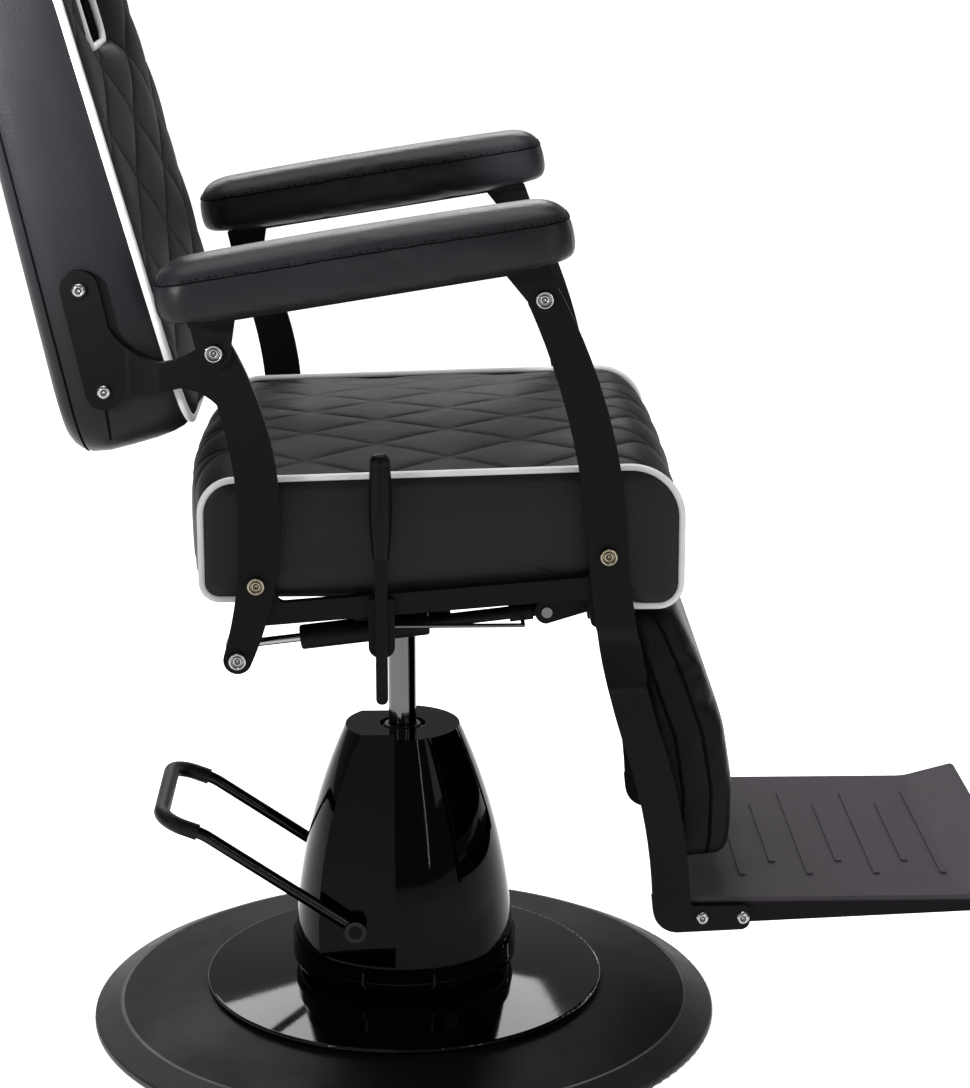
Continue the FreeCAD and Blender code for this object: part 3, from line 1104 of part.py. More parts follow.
def recline_spring():
    span = (spring_front - spring_rear).Length
    place = Placement(spring_rear, Rotation(Vector(0, 0, 1), spring_front - spring_rear))
    outer, wall = size("spring_radius"), size("spring_wall")
    start = size("rod_eye_radius") + size("spring_travel") + 2 * size("bore_clearance")
    end = start + size("spring_length")
    run = size("spring_rod_radius") + size("running_clearance")
    neck = size("spring_neck_radius")
    head_end = span - size("spring_eye_radius") * 1.4
    head_start = head_end - size("spring_head_length")
    barrel = turned("SpringBarrel", rounded([
        (run, start, 0), (outer, start, wall), (outer, end, wall), (neck, end, 0), (neck, head_start, 0),
        (size("spring_head_radius"), head_start, 1), (size("spring_head_radius"), head_end, 1),
        (neck, head_end, 0),
        (neck, span, 0), (0, span, 0), (0, end - 2 * wall, 0), (outer - wall, end - 2 * wall, 0),
        (outer - wall, start + 3 * wall, 0), (run, start + 3 * wall, 0)]))
    barrel.Placement = place
    eye_width = size("spring_eye_width")
    eye = cylinder("SpringEye", "Sizes.spring_eye_radius", "Sizes.spring_eye_width",
                   across(spring_front.x, spring_front.z, spring_front.y - eye_width / 2))
    bore = cylinder("SpringEyeBore", "Sizes.bolt_radius + Sizes.running_clearance", "4 * Sizes.spring_eye_width",
                    across(spring_front.x, spring_front.z, spring_front.y - 2 * eye_width))
    keep("spring_cylinder", combine("Cut", combine("Fuse", barrel, eye), bore))

    rod_end = start + size("spring_length") * 0.42
    head = outer - wall - size("bore_clearance")
    rod = turned("SpringRodTurned", rounded([
        (0, size("crossbar_radius"), 0), (size("spring_rod_radius"), size("crossbar_radius"), 0),
        (size("spring_rod_radius"), rod_end, 0), (head, rod_end, 0), (head, rod_end + 2 * wall, 0),
        (0, rod_end + 2 * wall, 0)]))
    rod.Placement = place
    rod_eye = cylinder("RodEye", "Sizes.rod_eye_radius", "Sizes.spring_eye_width",
                       across(spring_rear.x, spring_rear.z, spring_rear.y - eye_width / 2))
    rod_bore = cylinder("RodEyeBore", "Sizes.crossbar_radius + Sizes.eye_clearance", "4 * Sizes.spring_eye_width",
                        across(spring_rear.x, spring_rear.z, spring_rear.y - 2 * eye_width))
    keep("spring_rod", combine("Cut", combine("Fuse", rod, rod_eye), rod_bore))

    thick = size("fork_thickness")
    inside = eye_width / 2 + size("fork_slack")
    radius = size("fork_radius")
    cross_back = size("cross_front_x") - size("cross_width") / 2
    x, z = spring_front.x, spring_front.z
    outline = lines_and_arcs([
        (flat(x, z - radius),), (flat(cross_back, bearer_top),), (flat(cross_back, cross_top - 2),),
        (flat(x, z + radius),), (flat(x - radius, z), flat(x, z - radius))][1:])
    cheeks = []
    for hand in SIDES.values():
        near = spring_front.y + hand * inside
        cheek = loft([(outline, layer("Y", near)), (outline, layer("Y", near + hand * thick))])
        cheeks.append(cheek.cut(Part.makeCylinder(size("bolt_radius"), 8 * eye_width,
                                                  Vector(x, spring_front.y - 4 * eye_width, z), Vector(0, 1, 0))))
    keep("spring_fork", formed("SpringFork", Part.makeCompound(cheeks)))
    pin_half = inside + thick + size("pin_tail")
    pin = cylinder("SpringPin", "Sizes.bolt_radius",
                   "Sizes.spring_eye_width + 2 * (Sizes.fork_slack + Sizes.fork_thickness + Sizes.pin_tail)",
                   across(x, z, spring_front.y - pin_half))
    keep("spring_pin", pin)


def lever():
    x, z = size("lever_x"), size("lever_z")
    half, corner = size("lever_bracket_width") / 2, size("lever_bracket_corner")
    thick = size("lever_bracket_thickness")
    run = "Sizes.lever_shaft_radius + Sizes.running_clearance"
    low = size("lever_bracket_foot")
    bracket = prism("LeverBracket", "XZ_Plane", [rounded([
        (x - half, low, half * 0.9), (x + half, low, half * 0.9), (x + half, size("lever_bracket_top"), corner),
        (x - half, size("lever_bracket_top"), corner)])], "Sizes.lever_bracket_thickness", [(x, z, run)])
    bracket.Placement = Placement(Vector(0, -rail_outer - thick / 2, 0), Rotation())
    keep("lever_bracket", bracket)

    bar_inner = rail_outer + thick + size("washer_slack") * 2
    bar_middle = bar_inner + size("lever_thickness") / 2
    width = size("lever_width") / 2
    grip_foot = size("lever_top") - size("grip_length")
    bar_top = size("lever_top") - 0.3 * size("grip_length")
    bar = prism("LeverBar", "XZ_Plane", [rounded([
        (x - width, size("lever_foot"), width * 0.95), (x + width, size("lever_foot"), width * 0.95),
        (x + width, bar_top, 2), (x - width, bar_top, 2)])], "Sizes.lever_thickness",
        [(x, z, "Sizes.lever_shaft_radius")])
    bar.Placement = Placement(Vector(0, -bar_middle, 0), Rotation())
    keep("lever_bar", bar)

    radius = size("grip_radius")
    length = size("grip_length")
    grip = turned("LeverGrip", lines_and_arcs([
        (flat(0, 0),), (flat(radius * 0.72, 0),),
        (flat(radius, length * 0.45), flat(radius * 0.86, length * 0.9)),
        (flat(radius * 0.7, length * 0.975), flat(radius * 0.3, length)), (flat(0, length),)]))
    grip.Placement = Placement(Vector(x, -bar_middle, grip_foot), Rotation())
    tang = box("GripTang", "Sizes.lever_width", "Sizes.lever_thickness", "0.7 * Sizes.grip_length",
               Vector(x - width, -bar_middle - size("lever_thickness") / 2, grip_foot))
    keep("lever_grip", combine("Cut", grip, tang))

    arm = size("crank_arm")
    shaft_end = size("release_y") + 1.5 * size("release_radius") + 1
    shaft = Part.makeCylinder(size("lever_shaft_radius"), bar_inner + size("lever_thickness") - shaft_end,
                              Vector(x, -shaft_end, z), Vector(0, -1, 0))
    top = z + size("crank_radius")
    crank_outline = ribbon([(x, z, arm * 1.2), (x, (z + top) / 2, arm), (x, top, arm)])
    crank = loft([(crank_outline, layer("Y", -shaft_end)), (crank_outline, layer("Y", -shaft_end - arm))])
    pin = Part.makeCylinder(size("release_pin_radius"), 4.5 * size("release_radius"),
                            Vector(x, -shaft_end, top), Vector(0, 1, 0))
    keep("lever_crank", formed("LeverCrank", joined([shaft, crank, pin])))

    y = -size("release_y")
    thin = size("release_radius")
    eye_radius = size("release_eye_radius")
    rod = Part.makeCylinder(thin, size("release_front_x") - x, Vector(x, y, top), Vector(1, 0, 0))
    hook = Part.makeCylinder(thin, 2 * eye_radius, Vector(size("release_front_x"), y, top), Vector(0, 1, 0))
    knuckle = Part.makeSphere(thin, Vector(size("release_front_x"), y, top))
    eye = Part.makeCylinder(eye_radius, 3 * thin, Vector(x, y - 1.5 * thin, top), Vector(0, 1, 0))
    bore = Part.makeCylinder(size("release_pin_radius") + size("open_pivot_clearance"), 8 * thin,
                             Vector(x, y - 4 * thin, top), Vector(0, 1, 0))
    keep("release_rod", formed("ReleaseRod", joined([rod, knuckle, hook, eye]).cut(bore)))


base()
cover()
lift()
pedal()
swivel_mount()
seat_frame()
seat_cushion()
rear_plates()
backrest()
headrest()
armrests()
leg_plates()
footrest()
calf_rest()
recline_spring()
lever()
doc.recompute()

for item in doc.Objects:
    if "Invalid" in item.State or "Error" in item.State:
        raise RuntimeError("%s failed: %s" % (item.Label, item.State))
for name, piece in nodes.items():
    if piece.Shape.isNull() or not piece.Shape.isValid() or not piece.Shape.Solids:
        raise RuntimeError(name + " is not a valid solid")
os.makedirs("parts", exist_ok=True)
for name, piece in nodes.items():
    piece.Shape.exportStep("parts/%s.step" % name)
print(len(nodes), "sub-parts written")
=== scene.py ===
"""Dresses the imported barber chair: upholstery, piping, seams, bolt heads, finishes and a studio stage.

Metres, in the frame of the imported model: the origin is the swivel axis on the floor, +X is forward,
+Y is the sitter's left and +Z is up.
"""
import math
from functools import partial

import bmesh
import bpy
from mathutils import Matrix, Vector
from mathutils.bvhtree import BVHTree


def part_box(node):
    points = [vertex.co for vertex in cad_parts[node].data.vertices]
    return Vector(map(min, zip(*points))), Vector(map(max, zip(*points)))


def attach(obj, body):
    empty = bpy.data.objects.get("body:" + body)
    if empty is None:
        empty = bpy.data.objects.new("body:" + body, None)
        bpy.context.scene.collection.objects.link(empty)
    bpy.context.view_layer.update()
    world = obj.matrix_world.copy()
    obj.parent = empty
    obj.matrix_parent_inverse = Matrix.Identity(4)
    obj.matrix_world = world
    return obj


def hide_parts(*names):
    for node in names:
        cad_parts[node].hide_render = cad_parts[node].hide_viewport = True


bl_info = {
    "name": "Barber chair dressing",
    "version": (1, 0, 0),
    "blender": (4, 5, 0),
    "location": "3D View > Sidebar > Chair",
    "description": "Builds the upholstery, hardware, finishes and stage of a barber chair on its frame",
    "category": "Object",
}

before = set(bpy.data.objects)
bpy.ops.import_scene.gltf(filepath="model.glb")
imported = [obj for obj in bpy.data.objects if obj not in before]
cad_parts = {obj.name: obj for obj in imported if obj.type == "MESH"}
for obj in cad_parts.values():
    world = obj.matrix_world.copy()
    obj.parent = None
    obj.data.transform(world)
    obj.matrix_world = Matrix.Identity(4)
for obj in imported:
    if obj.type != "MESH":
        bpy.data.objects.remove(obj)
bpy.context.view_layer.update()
SIDES = {"right": -1, "left": 1}

# Seat cushion, in side view; its top falls to the rear, and its crown leans out by a share at both ends
SEAT_LOW, SEAT_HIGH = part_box("seat_cushion")
SEAT_CROWN, SEAT_CROWN_POWER, SEAT_FALL = 0.015, 2.5, 0.012
CROWN_REAR, CROWN_FRONT = 1.5, 0.3
SEAT_REAR = SEAT_LOW.x + CROWN_REAR * SEAT_CROWN
SEAT_FRONT = SEAT_HIGH.x - CROWN_FRONT * SEAT_CROWN
SEAT_TOP_FRONT = SEAT_HIGH.z - SEAT_CROWN
SEAT_TOP_REAR = SEAT_TOP_FRONT - SEAT_FALL
SEAT_BULGE = 0.006
SEAT_HALF_WIDTH = SEAT_HIGH.y - SEAT_BULGE

# How far the quilted covers round off at their edges, and thinner piping as a share of the backrest's
EDGE_ROLL = 0.022
THIN_PIPING = 0.8

# Backrest, along its own slope, with two hand slots; the shell covers the headrest guides at their inner ends
BACK_SLOPE = math.radians(15.3)
BACK_FOOT = Vector((-0.189, 0, 0.660))
BACK_PLACE = Matrix.Translation(BACK_FOOT) @ Matrix.Rotation(BACK_SLOPE, 4, (0, -1, 0))
BACK_HEIGHT, BACK_HALF_WIDTH = 0.540, 0.226
BACK_CORNER_LOW, BACK_CORNER_HIGH = 0.042, 0.084
BACK_DEPTH_LOW, BACK_DEPTH_HIGH = 0.112, 0.080
BACK_ROLL, BACK_DOME = 0.0088, 0.024
SLOT_Y, SLOT_HALF_WIDTH, SLOT_LOW, SLOT_HIGH, SLOT_CORNER = 0.116, 0.055, 0.340, 0.400, 0.016
GUIDE_COVER = 0.0048

# Height of the footrest tray's edge, and of the blend to the painted shade on its skirt below
TRAY_SKIRT, SKIRT_SHADE_BLEND = 0.181, 0.003

# Armrest pads, along the line of their two pivots
REAR_PIVOT, FRONT_PIVOT = Vector((-0.161, 0, 0.736)), Vector((0.128, 0, 0.782))
ARM_SLOPE = math.atan2(FRONT_PIVOT.z - REAR_PIVOT.z, FRONT_PIVOT.x - REAR_PIVOT.x)
ARM_SPAN = (FRONT_PIVOT - REAR_PIVOT).length
ARM_PLACE = Matrix.Translation(REAR_PIVOT) @ Matrix.Rotation(ARM_SLOPE, 4, (0, -1, 0))
ARM_Y, ARM_HALF_WIDTH, ARM_CORNER = 0.280, 0.042, 0.030
ARM_BEHIND, ARM_AHEAD = 0.041, 0.034
ARM_LOW, ARM_THICK = 0.035, 0.051

# Simulated pads: size of the remeshed cells, frames of cloth and the furthest that a point may move
PAD_CELL, PAD_FRAMES, PAD_LIMIT = 0.005, 20, 0.004


class ChairUpholstery(bpy.types.PropertyGroup):
    """Sizes of the covers that a user would change."""

    quilt_long: bpy.props.FloatProperty(
        name="Quilt length", description="Length of a seat diamond from front to back", default=0.132,
        unit="LENGTH")
    quilt_wide: bpy.props.FloatProperty(
        name="Quilt width", description="Width of a seat diamond across the seat", default=0.090,
        unit="LENGTH")
    quilt_depth: bpy.props.FloatProperty(
        name="Quilt depth", description="Depth of the seat's creases", default=0.0040, unit="LENGTH")
    tuft_high: bpy.props.FloatProperty(
        name="Tuft height", description="Height of a backrest diamond", default=0.104, unit="LENGTH")
    tuft_wide: bpy.props.FloatProperty(
        name="Tuft width", description="Width of a backrest diamond", default=0.098, unit="LENGTH")
    tuft_depth: bpy.props.FloatProperty(
        name="Tuft depth", description="Depth of the backrest's creases", default=0.0042, unit="LENGTH")
    piping_radius: bpy.props.FloatProperty(
        name="Piping radius", description="Radius of the backrest's piping", default=0.0040, unit="LENGTH")
    stitch_length: bpy.props.FloatProperty(
        name="Stitch length", description="Length of one stitch of a seam", default=0.0042, unit="LENGTH")
    swell: bpy.props.FloatProperty(
        name="Swell", description="Pressure that fills the simulated pads", default=4.0, min=0)


class ChairColours(bpy.types.PropertyGroup):
    """Colours of the finishes."""

    leather: bpy.props.FloatVectorProperty(
        name="Leatherette", description="Colour of the plain covers", default=(0.0115, 0.0120, 0.0142),
        subtype="COLOR")
    quilt: bpy.props.FloatVectorProperty(
        name="Quilted cover", description="Colour of the quilted covers", default=(0.0190, 0.0165, 0.0200),
        subtype="COLOR")
    piping: bpy.props.FloatVectorProperty(
        name="Piping", description="Colour of the piping", default=(0.88, 0.88, 0.89), subtype="COLOR")
    paint: bpy.props.FloatVectorProperty(
        name="Powder coat", description="Colour of the painted steel", default=(0.0048, 0.0046, 0.0050),
        subtype="COLOR")
    tray: bpy.props.FloatVectorProperty(
        name="Footrest", description="Colour of the footrest tray", default=(0.072, 0.063, 0.074),
        subtype="COLOR")


class ChairStage(bpy.types.PropertyGroup):
    """Camera and light."""

    camera_place: bpy.props.FloatVectorProperty(
        name="Camera", description="Where the camera stands", default=(0.0129, -2.6797, 1.1853),
        subtype="TRANSLATION")
    camera_pitch: bpy.props.FloatProperty(
        name="Pitch", description="How far the camera looks down", default=0.2534, subtype="ANGLE")
    camera_turn: bpy.props.FloatProperty(
        name="Turn", description="How far the camera turns to the right", default=0.0262, subtype="ANGLE")
    camera_lens: bpy.props.FloatProperty(
        name="Lens", description="Focal length on a sensor 36 mm high", default=92.33, unit="CAMERA")
    key_power: bpy.props.FloatProperty(
        name="Light", description="Power that each lamp takes a share of", default=60, unit="POWER")
    floor_colour: bpy.props.FloatVectorProperty(
        name="Floor", description="Colour of the floor", default=(0.92, 0.92, 0.92), subtype="COLOR")


class Outline:
    """A closed, counterclockwise run of straight lines and tangent arcs in a plane, measured along it."""

    def __init__(self, corners):
        """Takes corners as x, y and the radius that rounds them."""
        self.runs = []
        spots = [Vector(corner[:2]) for corner in corners]
        bends = []
        for k, spot in enumerate(spots):
            radius = corners[k][2]
            before = (spots[k - 1] - spot).normalized()
            after = (spots[(k + 1) % len(spots)] - spot).normalized()
            half = before.angle(after) / 2
            reach = radius / math.tan(half)
            centre = spot + (before + after).normalized() * (radius / math.sin(half)) if radius else spot
            bends.append((spot + before * reach, spot + after * reach, centre, radius))
        for k, (start, end, centre, radius) in enumerate(bends):
            if radius:
                first = math.atan2(start.y - centre.y, start.x - centre.x)
                turn = (end - centre).angle_signed(start - centre)
                self.runs.append((abs(turn) * radius, centre, radius, first, turn))
            ahead = bends[(k + 1) % len(bends)][0]
            if (ahead - end).length > 1e-6:
                self.runs.append(((ahead - end).length, end, (ahead - end).normalized()))
        self.length = sum(run[0] for run in self.runs)

    def at(self, distance):
        """The point at a distance along the outline and the direction that points out of it there."""
        distance %= self.length
        for run in self.runs:
            if distance <= run[0]:
                break
            distance -= run[0]
        if len(run) == 3:
            return run[1] + run[2] * distance, Vector((run[2].y, -run[2].x))
        angle = run[3] + run[4] * distance / run[0]
        out = Vector((math.cos(angle), math.sin(angle)))
        return run[1] + out * run[2], out if run[4] > 0 else -out

    def points(self, count):
        """Evenly spaced points round the outline."""
        return [self.at(self.length * k / count)[0] for k in range(count)]


def rounded_box(left, right, low, high, low_corner, high_corner):
    """A rectangle with round corners, one radius below and one above."""
    return Outline([(left, low, low_corner), (right, low, low_corner),
                    (right, high, high_corner), (left, high, high_corner)])


def inside_distance(x, y, left, right, low, high, low_corner, high_corner):
    """How far a point lies inside a rectangle with round corners; negative outside."""
    corner = high_corner if y > (low + high) / 2 else low_corner
    across = abs(x - (left + right) / 2) - (right - left) / 2 + corner
    along = abs(y - (low + high) / 2) - (high - low) / 2 + corner
    return corner - math.hypot(max(across, 0), max(along, 0)) - min(max(across, along), 0)


def clamp(value, low, high):
    """The value, kept between two limits."""
    return min(max(value, low), high)


def swell_to(distance, reach):
    """A quarter round: 0 at an edge, 1 from reach inwards."""
    return math.sqrt(1 - (1 - clamp(distance / reach, 0, 1)) ** 2)


def pillow(along, across, long, wide):
    """Height of a quilted surface from 0 in the creases to 1 on a diamond, for diamonds of long by wide."""
    first, second = along / long + across / wide, along / long - across / wide
    return (abs(math.sin(math.pi * first)) * abs(math.sin(math.pi * second))) ** 0.42


def crease_way(row, column, cells):
    """Which diagonal of a grid's quad is a crease: 1, -1 or 0 for none; a diamond is cells by cells."""
    if (row - column) % cells == 0:
        return 1
    return -1 if (row + column + 1) % cells == 0 else 0


def placed(name, data):
    """A new object of the scene with the given data."""
    holder = bpy.data.objects.new(name, data)
    bpy.context.scene.collection.objects.link(holder)
    return holder


def evaluated(holder):
    """An object's mesh after its modifiers."""
    return bpy.data.meshes.new_from_object(holder.evaluated_get(bpy.context.evaluated_depsgraph_get()))


def finished(name, mesh, body, look, replaces=()):
    """Makes a mesh a piece with a finish, which rides on a body and may stand for CAD nodes."""
    piece = placed(name, mesh)
    mesh.materials.clear()
    mesh.materials.append(finish(look))
    mesh.shade_smooth()
    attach(piece, body)
    if replaces:
        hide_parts(*replaces)


def to_mesh(name, bm, place=None):
    """Merges doubles, turns the faces outwards, places the shape and gives it as a mesh."""
    bmesh.ops.remove_doubles(bm, verts=bm.verts, dist=0.00002)
    bmesh.ops.recalc_face_normals(bm, faces=bm.faces)
    if place:
        bmesh.ops.transform(bm, matrix=place, verts=bm.verts)
    mesh = bpy.data.meshes.new(name)
    bm.to_mesh(mesh)
    bm.free()
    return mesh


def tube_mesh(name, lines, radius, closed=False, sides=4):
    """A round cord along each line of points, as one mesh."""
    curve = bpy.data.curves.new(name, "CURVE")
    curve.dimensions = "3D"
    curve.bevel_depth = radius
    curve.bevel_resolution = sides
    curve.use_fill_caps = not closed
    for line in lines:
        spline = curve.splines.new("POLY")
        spline.points.add(len(line) - 1)
        for point, spot in zip(spline.points, line):
            point.co = (*spot, 1)
        spline.use_cyclic_u = closed
    holder = bpy.data.objects.new(name, curve)
    mesh = bpy.data.meshes.new_from_object(holder)
    bpy.data.objects.remove(holder)
    bpy.data.curves.remove(curve)
    return mesh


def sewn_cord(name, lines, radius, body, look="piping", closed=False):
    """A piece of round cord along each line of points."""
    finished(name, tube_mesh(name, lines, radius, closed), body, look)


def stitches(name, path, length, radius):
    """A row of short stitches along a path of points, as one mesh."""
    lines = []
    gap = 0.35 * length
    travelled, target = 0.0, 0.0
    for start, end in zip(path, path[1:]):
        run = (end - start).length
        while target + length < travelled + run:
            first = start.lerp(end, max(target - travelled, 0) / run)
            last = start.lerp(end, (target + length - travelled) / run)
            lines.append([first, first.lerp(last, 0.5), last])
            target += length + gap
        travelled += run
    return tube_mesh(name, lines, radius, sides=1)


def new_verts(made):
    """The vertices among what an operator made."""
    return [item for item in made["geom"] if isinstance(item, bmesh.types.BMVert)]


def step_ring(bm, ring, places, closed=True):
    """Extrudes a ring or open row of vertices once and puts the new one at places, in the same order."""
    edges = [bm.edges.get((ring[k - 1], ring[k])) for k in range(0 if closed else 1, len(ring))]
    fresh = set(new_verts(bmesh.ops.extrude_edge_only(bm, edges=edges)))
    grown = []
    for vert, place in zip(ring, places):
        twin = next(edge.other_vert(vert) for edge in vert.link_edges if edge.other_vert(vert) in fresh)
        twin.co = place
        grown.append(twin)
    return grown


def ring_loft(rings):
    """A skin through rings of points of the same count; the first and last ring close on themselves."""
    bm = bmesh.new()
    ring = bmesh.ops.create_circle(bm, segments=len(rings[0]), radius=1)["verts"]
    for vert, place in zip(ring, rings[0]):
        vert.co = place
    for places in rings[1:]:
        ring = step_ring(bm, ring, places)
    return bm


def pad_rings(ring, levels, first_inset, last_inset, crown):
    """Rings of a pad: closed at its first level, out along its levels, and closed over a low crown."""
    first, last = levels[0][0], levels[-1][0]
    return ([ring(first, first_inset, pull) for pull in (1.0, 0.7, 0.4, 0.15)]
            + [ring(level, inset) for level, inset in levels]
            + [ring(last + crown * swell_to(pull, 1), last_inset, pull) for pull in (0.2, 0.5, 0.8, 1.0)])


def towards(points, share, left, right, level):
    """Points drawn in by a share towards a straight spine between left and right at a level."""
    return [point.lerp(Vector((clamp(point.x, left, right), level)), share) for point in points]


def surface_grid(rows, columns, place, crease):
    """A grid with its corners where place(row, column) says; quads that crease names are split diagonally."""
    bm = bmesh.new()
    bmesh.ops.create_grid(bm, x_segments=rows, y_segments=columns, size=1)
    spots = {}
    for vert in bm.verts:
        spots[round((vert.co.x + 1) / 2 * rows), round((vert.co.y + 1) / 2 * columns)] = vert
    for (i, j), vert in spots.items():
        vert.co = place(i, j)
    for i in range(rows):
        for j in range(columns):
            way = crease(i, j)
            if way:
                first, last = ((i, j), (i + 1, j + 1)) if way > 0 else ((i + 1, j), (i, j + 1))
                face = set(spots[first].link_faces) & set(spots[last].link_faces)
                bmesh.utils.face_split(face.pop(), spots[first], spots[last])
    return bm, spots


def map_quilt(bm, spots, spread):
    """Writes each vertex's place on the flat cover, spread(row, column), to a UV map for the stitching."""
    layer = bm.loops.layers.uv.new("quilt")
    for (i, j), vert in spots.items():
        for loop in vert.link_loops:
            loop[layer].uv = spread(i, j)


def swollen(mesh, pressure):
    shape = placed("swelling", mesh.copy())
    remesh = shape.modifiers.new("Remesh", "REMESH")
    remesh.mode = "VOXEL"
    remesh.voxel_size = PAD_CELL
    shape.data = evaluated(shape)
    shape.modifiers.clear()
    start = [vert.co.copy() for vert in shape.data.vertices]
    cloth = shape.modifiers.new("Cloth", "CLOTH")
    settings = {"quality": 6, "mass": 0.3, "use_pressure": True, "uniform_pressure_force": pressure,
                "tension_stiffness": 25, "compression_stiffness": 25, "bending_stiffness": 4}
    for label, value in settings.items():
        setattr(cloth.settings, label, value)
    cloth.settings.effector_weights.gravity = 0
    cloth.point_cache.frame_start = 1
    cloth.point_cache.frame_end = PAD_FRAMES
    for step in range(1, PAD_FRAMES + 1):
        bpy.context.scene.frame_set(step)
    result = evaluated(shape)
    bpy.context.scene.frame_set(1)
    bpy.data.objects.remove(shape)
    for vert, rest in zip(result.vertices, start):
        move = vert.co - rest
        if move.length > PAD_LIMIT:
            vert.co = rest + move.normalized() * PAD_LIMIT
    bm = bmesh.new()
    bm.from_mesh(result)
    bmesh.ops.smooth_vert(bm, verts=bm.verts, factor=0.5, use_axis_x=True, use_axis_y=True, use_axis_z=True)
    bmesh.ops.subdivide_edges(bm, edges=bm.edges, cuts=1, use_grid_fill=True, smooth=1)
    bm.to_mesh(result)
    bm.free()
    return result


def on_surface(mesh, spots, lift):
    """Points moved to the nearest place on a mesh, lifted off it."""
    tree = BVHTree.FromPolygons([vert.co for vert in mesh.vertices],
                                [face.vertices for face in mesh.polygons])
    found = [tree.find_nearest(spot) for spot in spots]
    return [hit + normal * lift for hit, normal, index, distance in found]


def feed(tree, socket, value):
    """Links a socket to another one or sets it to a constant."""
    if hasattr(value, "is_output"):
        tree.links.new(value, socket)
    else:
        socket.default_value = value


def node_group(name, place, values, outputs):
    """An empty shader group of a vector, float inputs and float outputs; gives it with its inner sockets."""
    group = bpy.data.node_groups.new(name, "ShaderNodeTree")
    group.interface.new_socket(place, in_out="INPUT", socket_type="NodeSocketVector")
    for label, default in values.items():
        socket = group.interface.new_socket(label, in_out="INPUT", socket_type="NodeSocketFloat")
        socket.default_value = default
    for label in outputs:
        group.interface.new_socket(label, in_out="OUTPUT", socket_type="NodeSocketFloat")
    return group, group.nodes.new("NodeGroupInput").outputs, group.nodes.new("NodeGroupOutput").inputs


def math_node(tree, operation, *values):
    """A Math node whose inputs are sockets or numbers; gives its output."""
    node = tree.nodes.new("ShaderNodeMath")
    node.operation = operation
    for socket, value in zip(node.inputs, values):
        feed(tree, socket, value)
    return node.outputs[0]


def spread_node(tree, value, low, high, to_low, to_high):
    """A smooth Map Range from low and high to two numbers or sockets."""
    node = tree.nodes.new("ShaderNodeMapRange")
    node.interpolation_type = "SMOOTHSTEP"
    labels = ("Value", "From Min", "From Max", "To Min", "To Max")
    for label, amount in zip(labels, (value, low, high, to_low, to_high)):
        feed(tree, node.inputs[label], amount)
    return node.outputs["Result"]


def noise_node(tree, place, scale, detail=3.0, roughness=0.55):
    """A noise texture at a place and scale; gives its value."""
    node = tree.nodes.new("ShaderNodeTexNoise")
    for label, amount in (("Vector", place), ("Scale", scale), ("Detail", detail), ("Roughness", roughness)):
        feed(tree, node.inputs[label], amount)
    return node.outputs["Fac"]


def axes(tree, place):
    """The separate coordinates of a place."""
    split = tree.nodes.new("ShaderNodeSeparateXYZ")
    tree.links.new(place, split.inputs[0])
    return split.outputs


def mixed(tree, factor, first, second):
    """A colour that runs from one colour or socket to another with a value."""
    node = tree.nodes.new("ShaderNodeMix")
    node.data_type = "RGBA"
    for label, amount in (("Factor", factor), ("A", first), ("B", second)):
        feed(tree, node.inputs[label], amount)
    return node.outputs["Result"]


def shaded(colour, share=1.0):
    """A colour made darker or lighter by a share, opaque."""
    return (*(channel * share for channel in colour[:3]), 1)


def leather_grain():
    """Group: pebbled grain of leatherette, with slow changes of tone and polish."""
    tree, given, put = node_group("Leather grain", "Place",
                                  {"Pebbles": 620.0, "Polish Low": 0.30, "Polish High": 0.42},
                                  ("Height", "Tone", "Polish"))
    calc = partial(math_node, tree)
    cells = tree.nodes.new("ShaderNodeTexVoronoi")
    cells.feature = "SMOOTH_F1"
    tree.links.new(given["Place"], cells.inputs["Vector"])
    tree.links.new(given["Pebbles"], cells.inputs["Scale"])
    pebble = spread_node(tree, cells.outputs["Distance"], 0.05, 0.62, 1.0, 0.0)
    fine = noise_node(tree, given["Place"], 1900.0, 2.0)
    slow = noise_node(tree, given["Place"], 9.0, 4.0)
    worn = calc("ADD", slow, calc("MULTIPLY", pebble, -0.25))
    feed(tree, put["Height"], calc("ADD", calc("MULTIPLY", pebble, 0.8), calc("MULTIPLY", fine, 0.2)))
    feed(tree, put["Tone"], slow)
    feed(tree, put["Polish"], spread_node(tree, worn, 0.1, 0.65, given["Polish Low"], given["Polish High"]))
    return tree


def quilt_seam():
    """Group: the sewn lines of a quilted cover, with painted shade in the creases beside them, from its place
    on the flat cover.
    """
    tree, given, put = node_group("Quilt seam", "Flat", {"Long": 0.13, "Wide": 0.09, "Stitch": 0.004},
                                  ("Seam", "Thread"))
    calc = partial(math_node, tree)
    flat = axes(tree, given["Flat"])
    along, across = calc("DIVIDE", flat["X"], given["Long"]), calc("DIVIDE", flat["Y"], given["Wide"])
    ways = [calc("ADD", along, across), calc("SUBTRACT", along, across)]
    side = calc("SQRT", calc("ADD", calc("POWER", given["Long"], 2.0), calc("POWER", given["Wide"], 2.0)))
    step = calc("DIVIDE", calc("MULTIPLY", given["Long"], given["Wide"]), side)
    gaps = [calc("MULTIPLY", calc("PINGPONG", way, 0.5), step) for way in ways]
    dashes = []
    for gap, other in zip(gaps, reversed(ways)):
        run = calc("MULTIPLY", other, calc("MULTIPLY", side, 0.5))
        beat = calc("PINGPONG", calc("DIVIDE", run, given["Stitch"]), 0.5)
        dash = spread_node(tree, beat, 0.12, 0.2, 0.0, 1.0)
        line = spread_node(tree, gap, 0.0004, 0.0010, 1.0, 0.0)
        dashes.append(calc("MULTIPLY", dash, line))
    # Mask of the dark sewn line and of painted crease shade that fades out from it over about 4 mm on either
    # side.
    feed(tree, put["Seam"], spread_node(tree, calc("MINIMUM", *gaps), 0.0006, 0.0042, 1.0, 0.0))
    feed(tree, put["Thread"], calc("MAXIMUM", *dashes))
    return tree


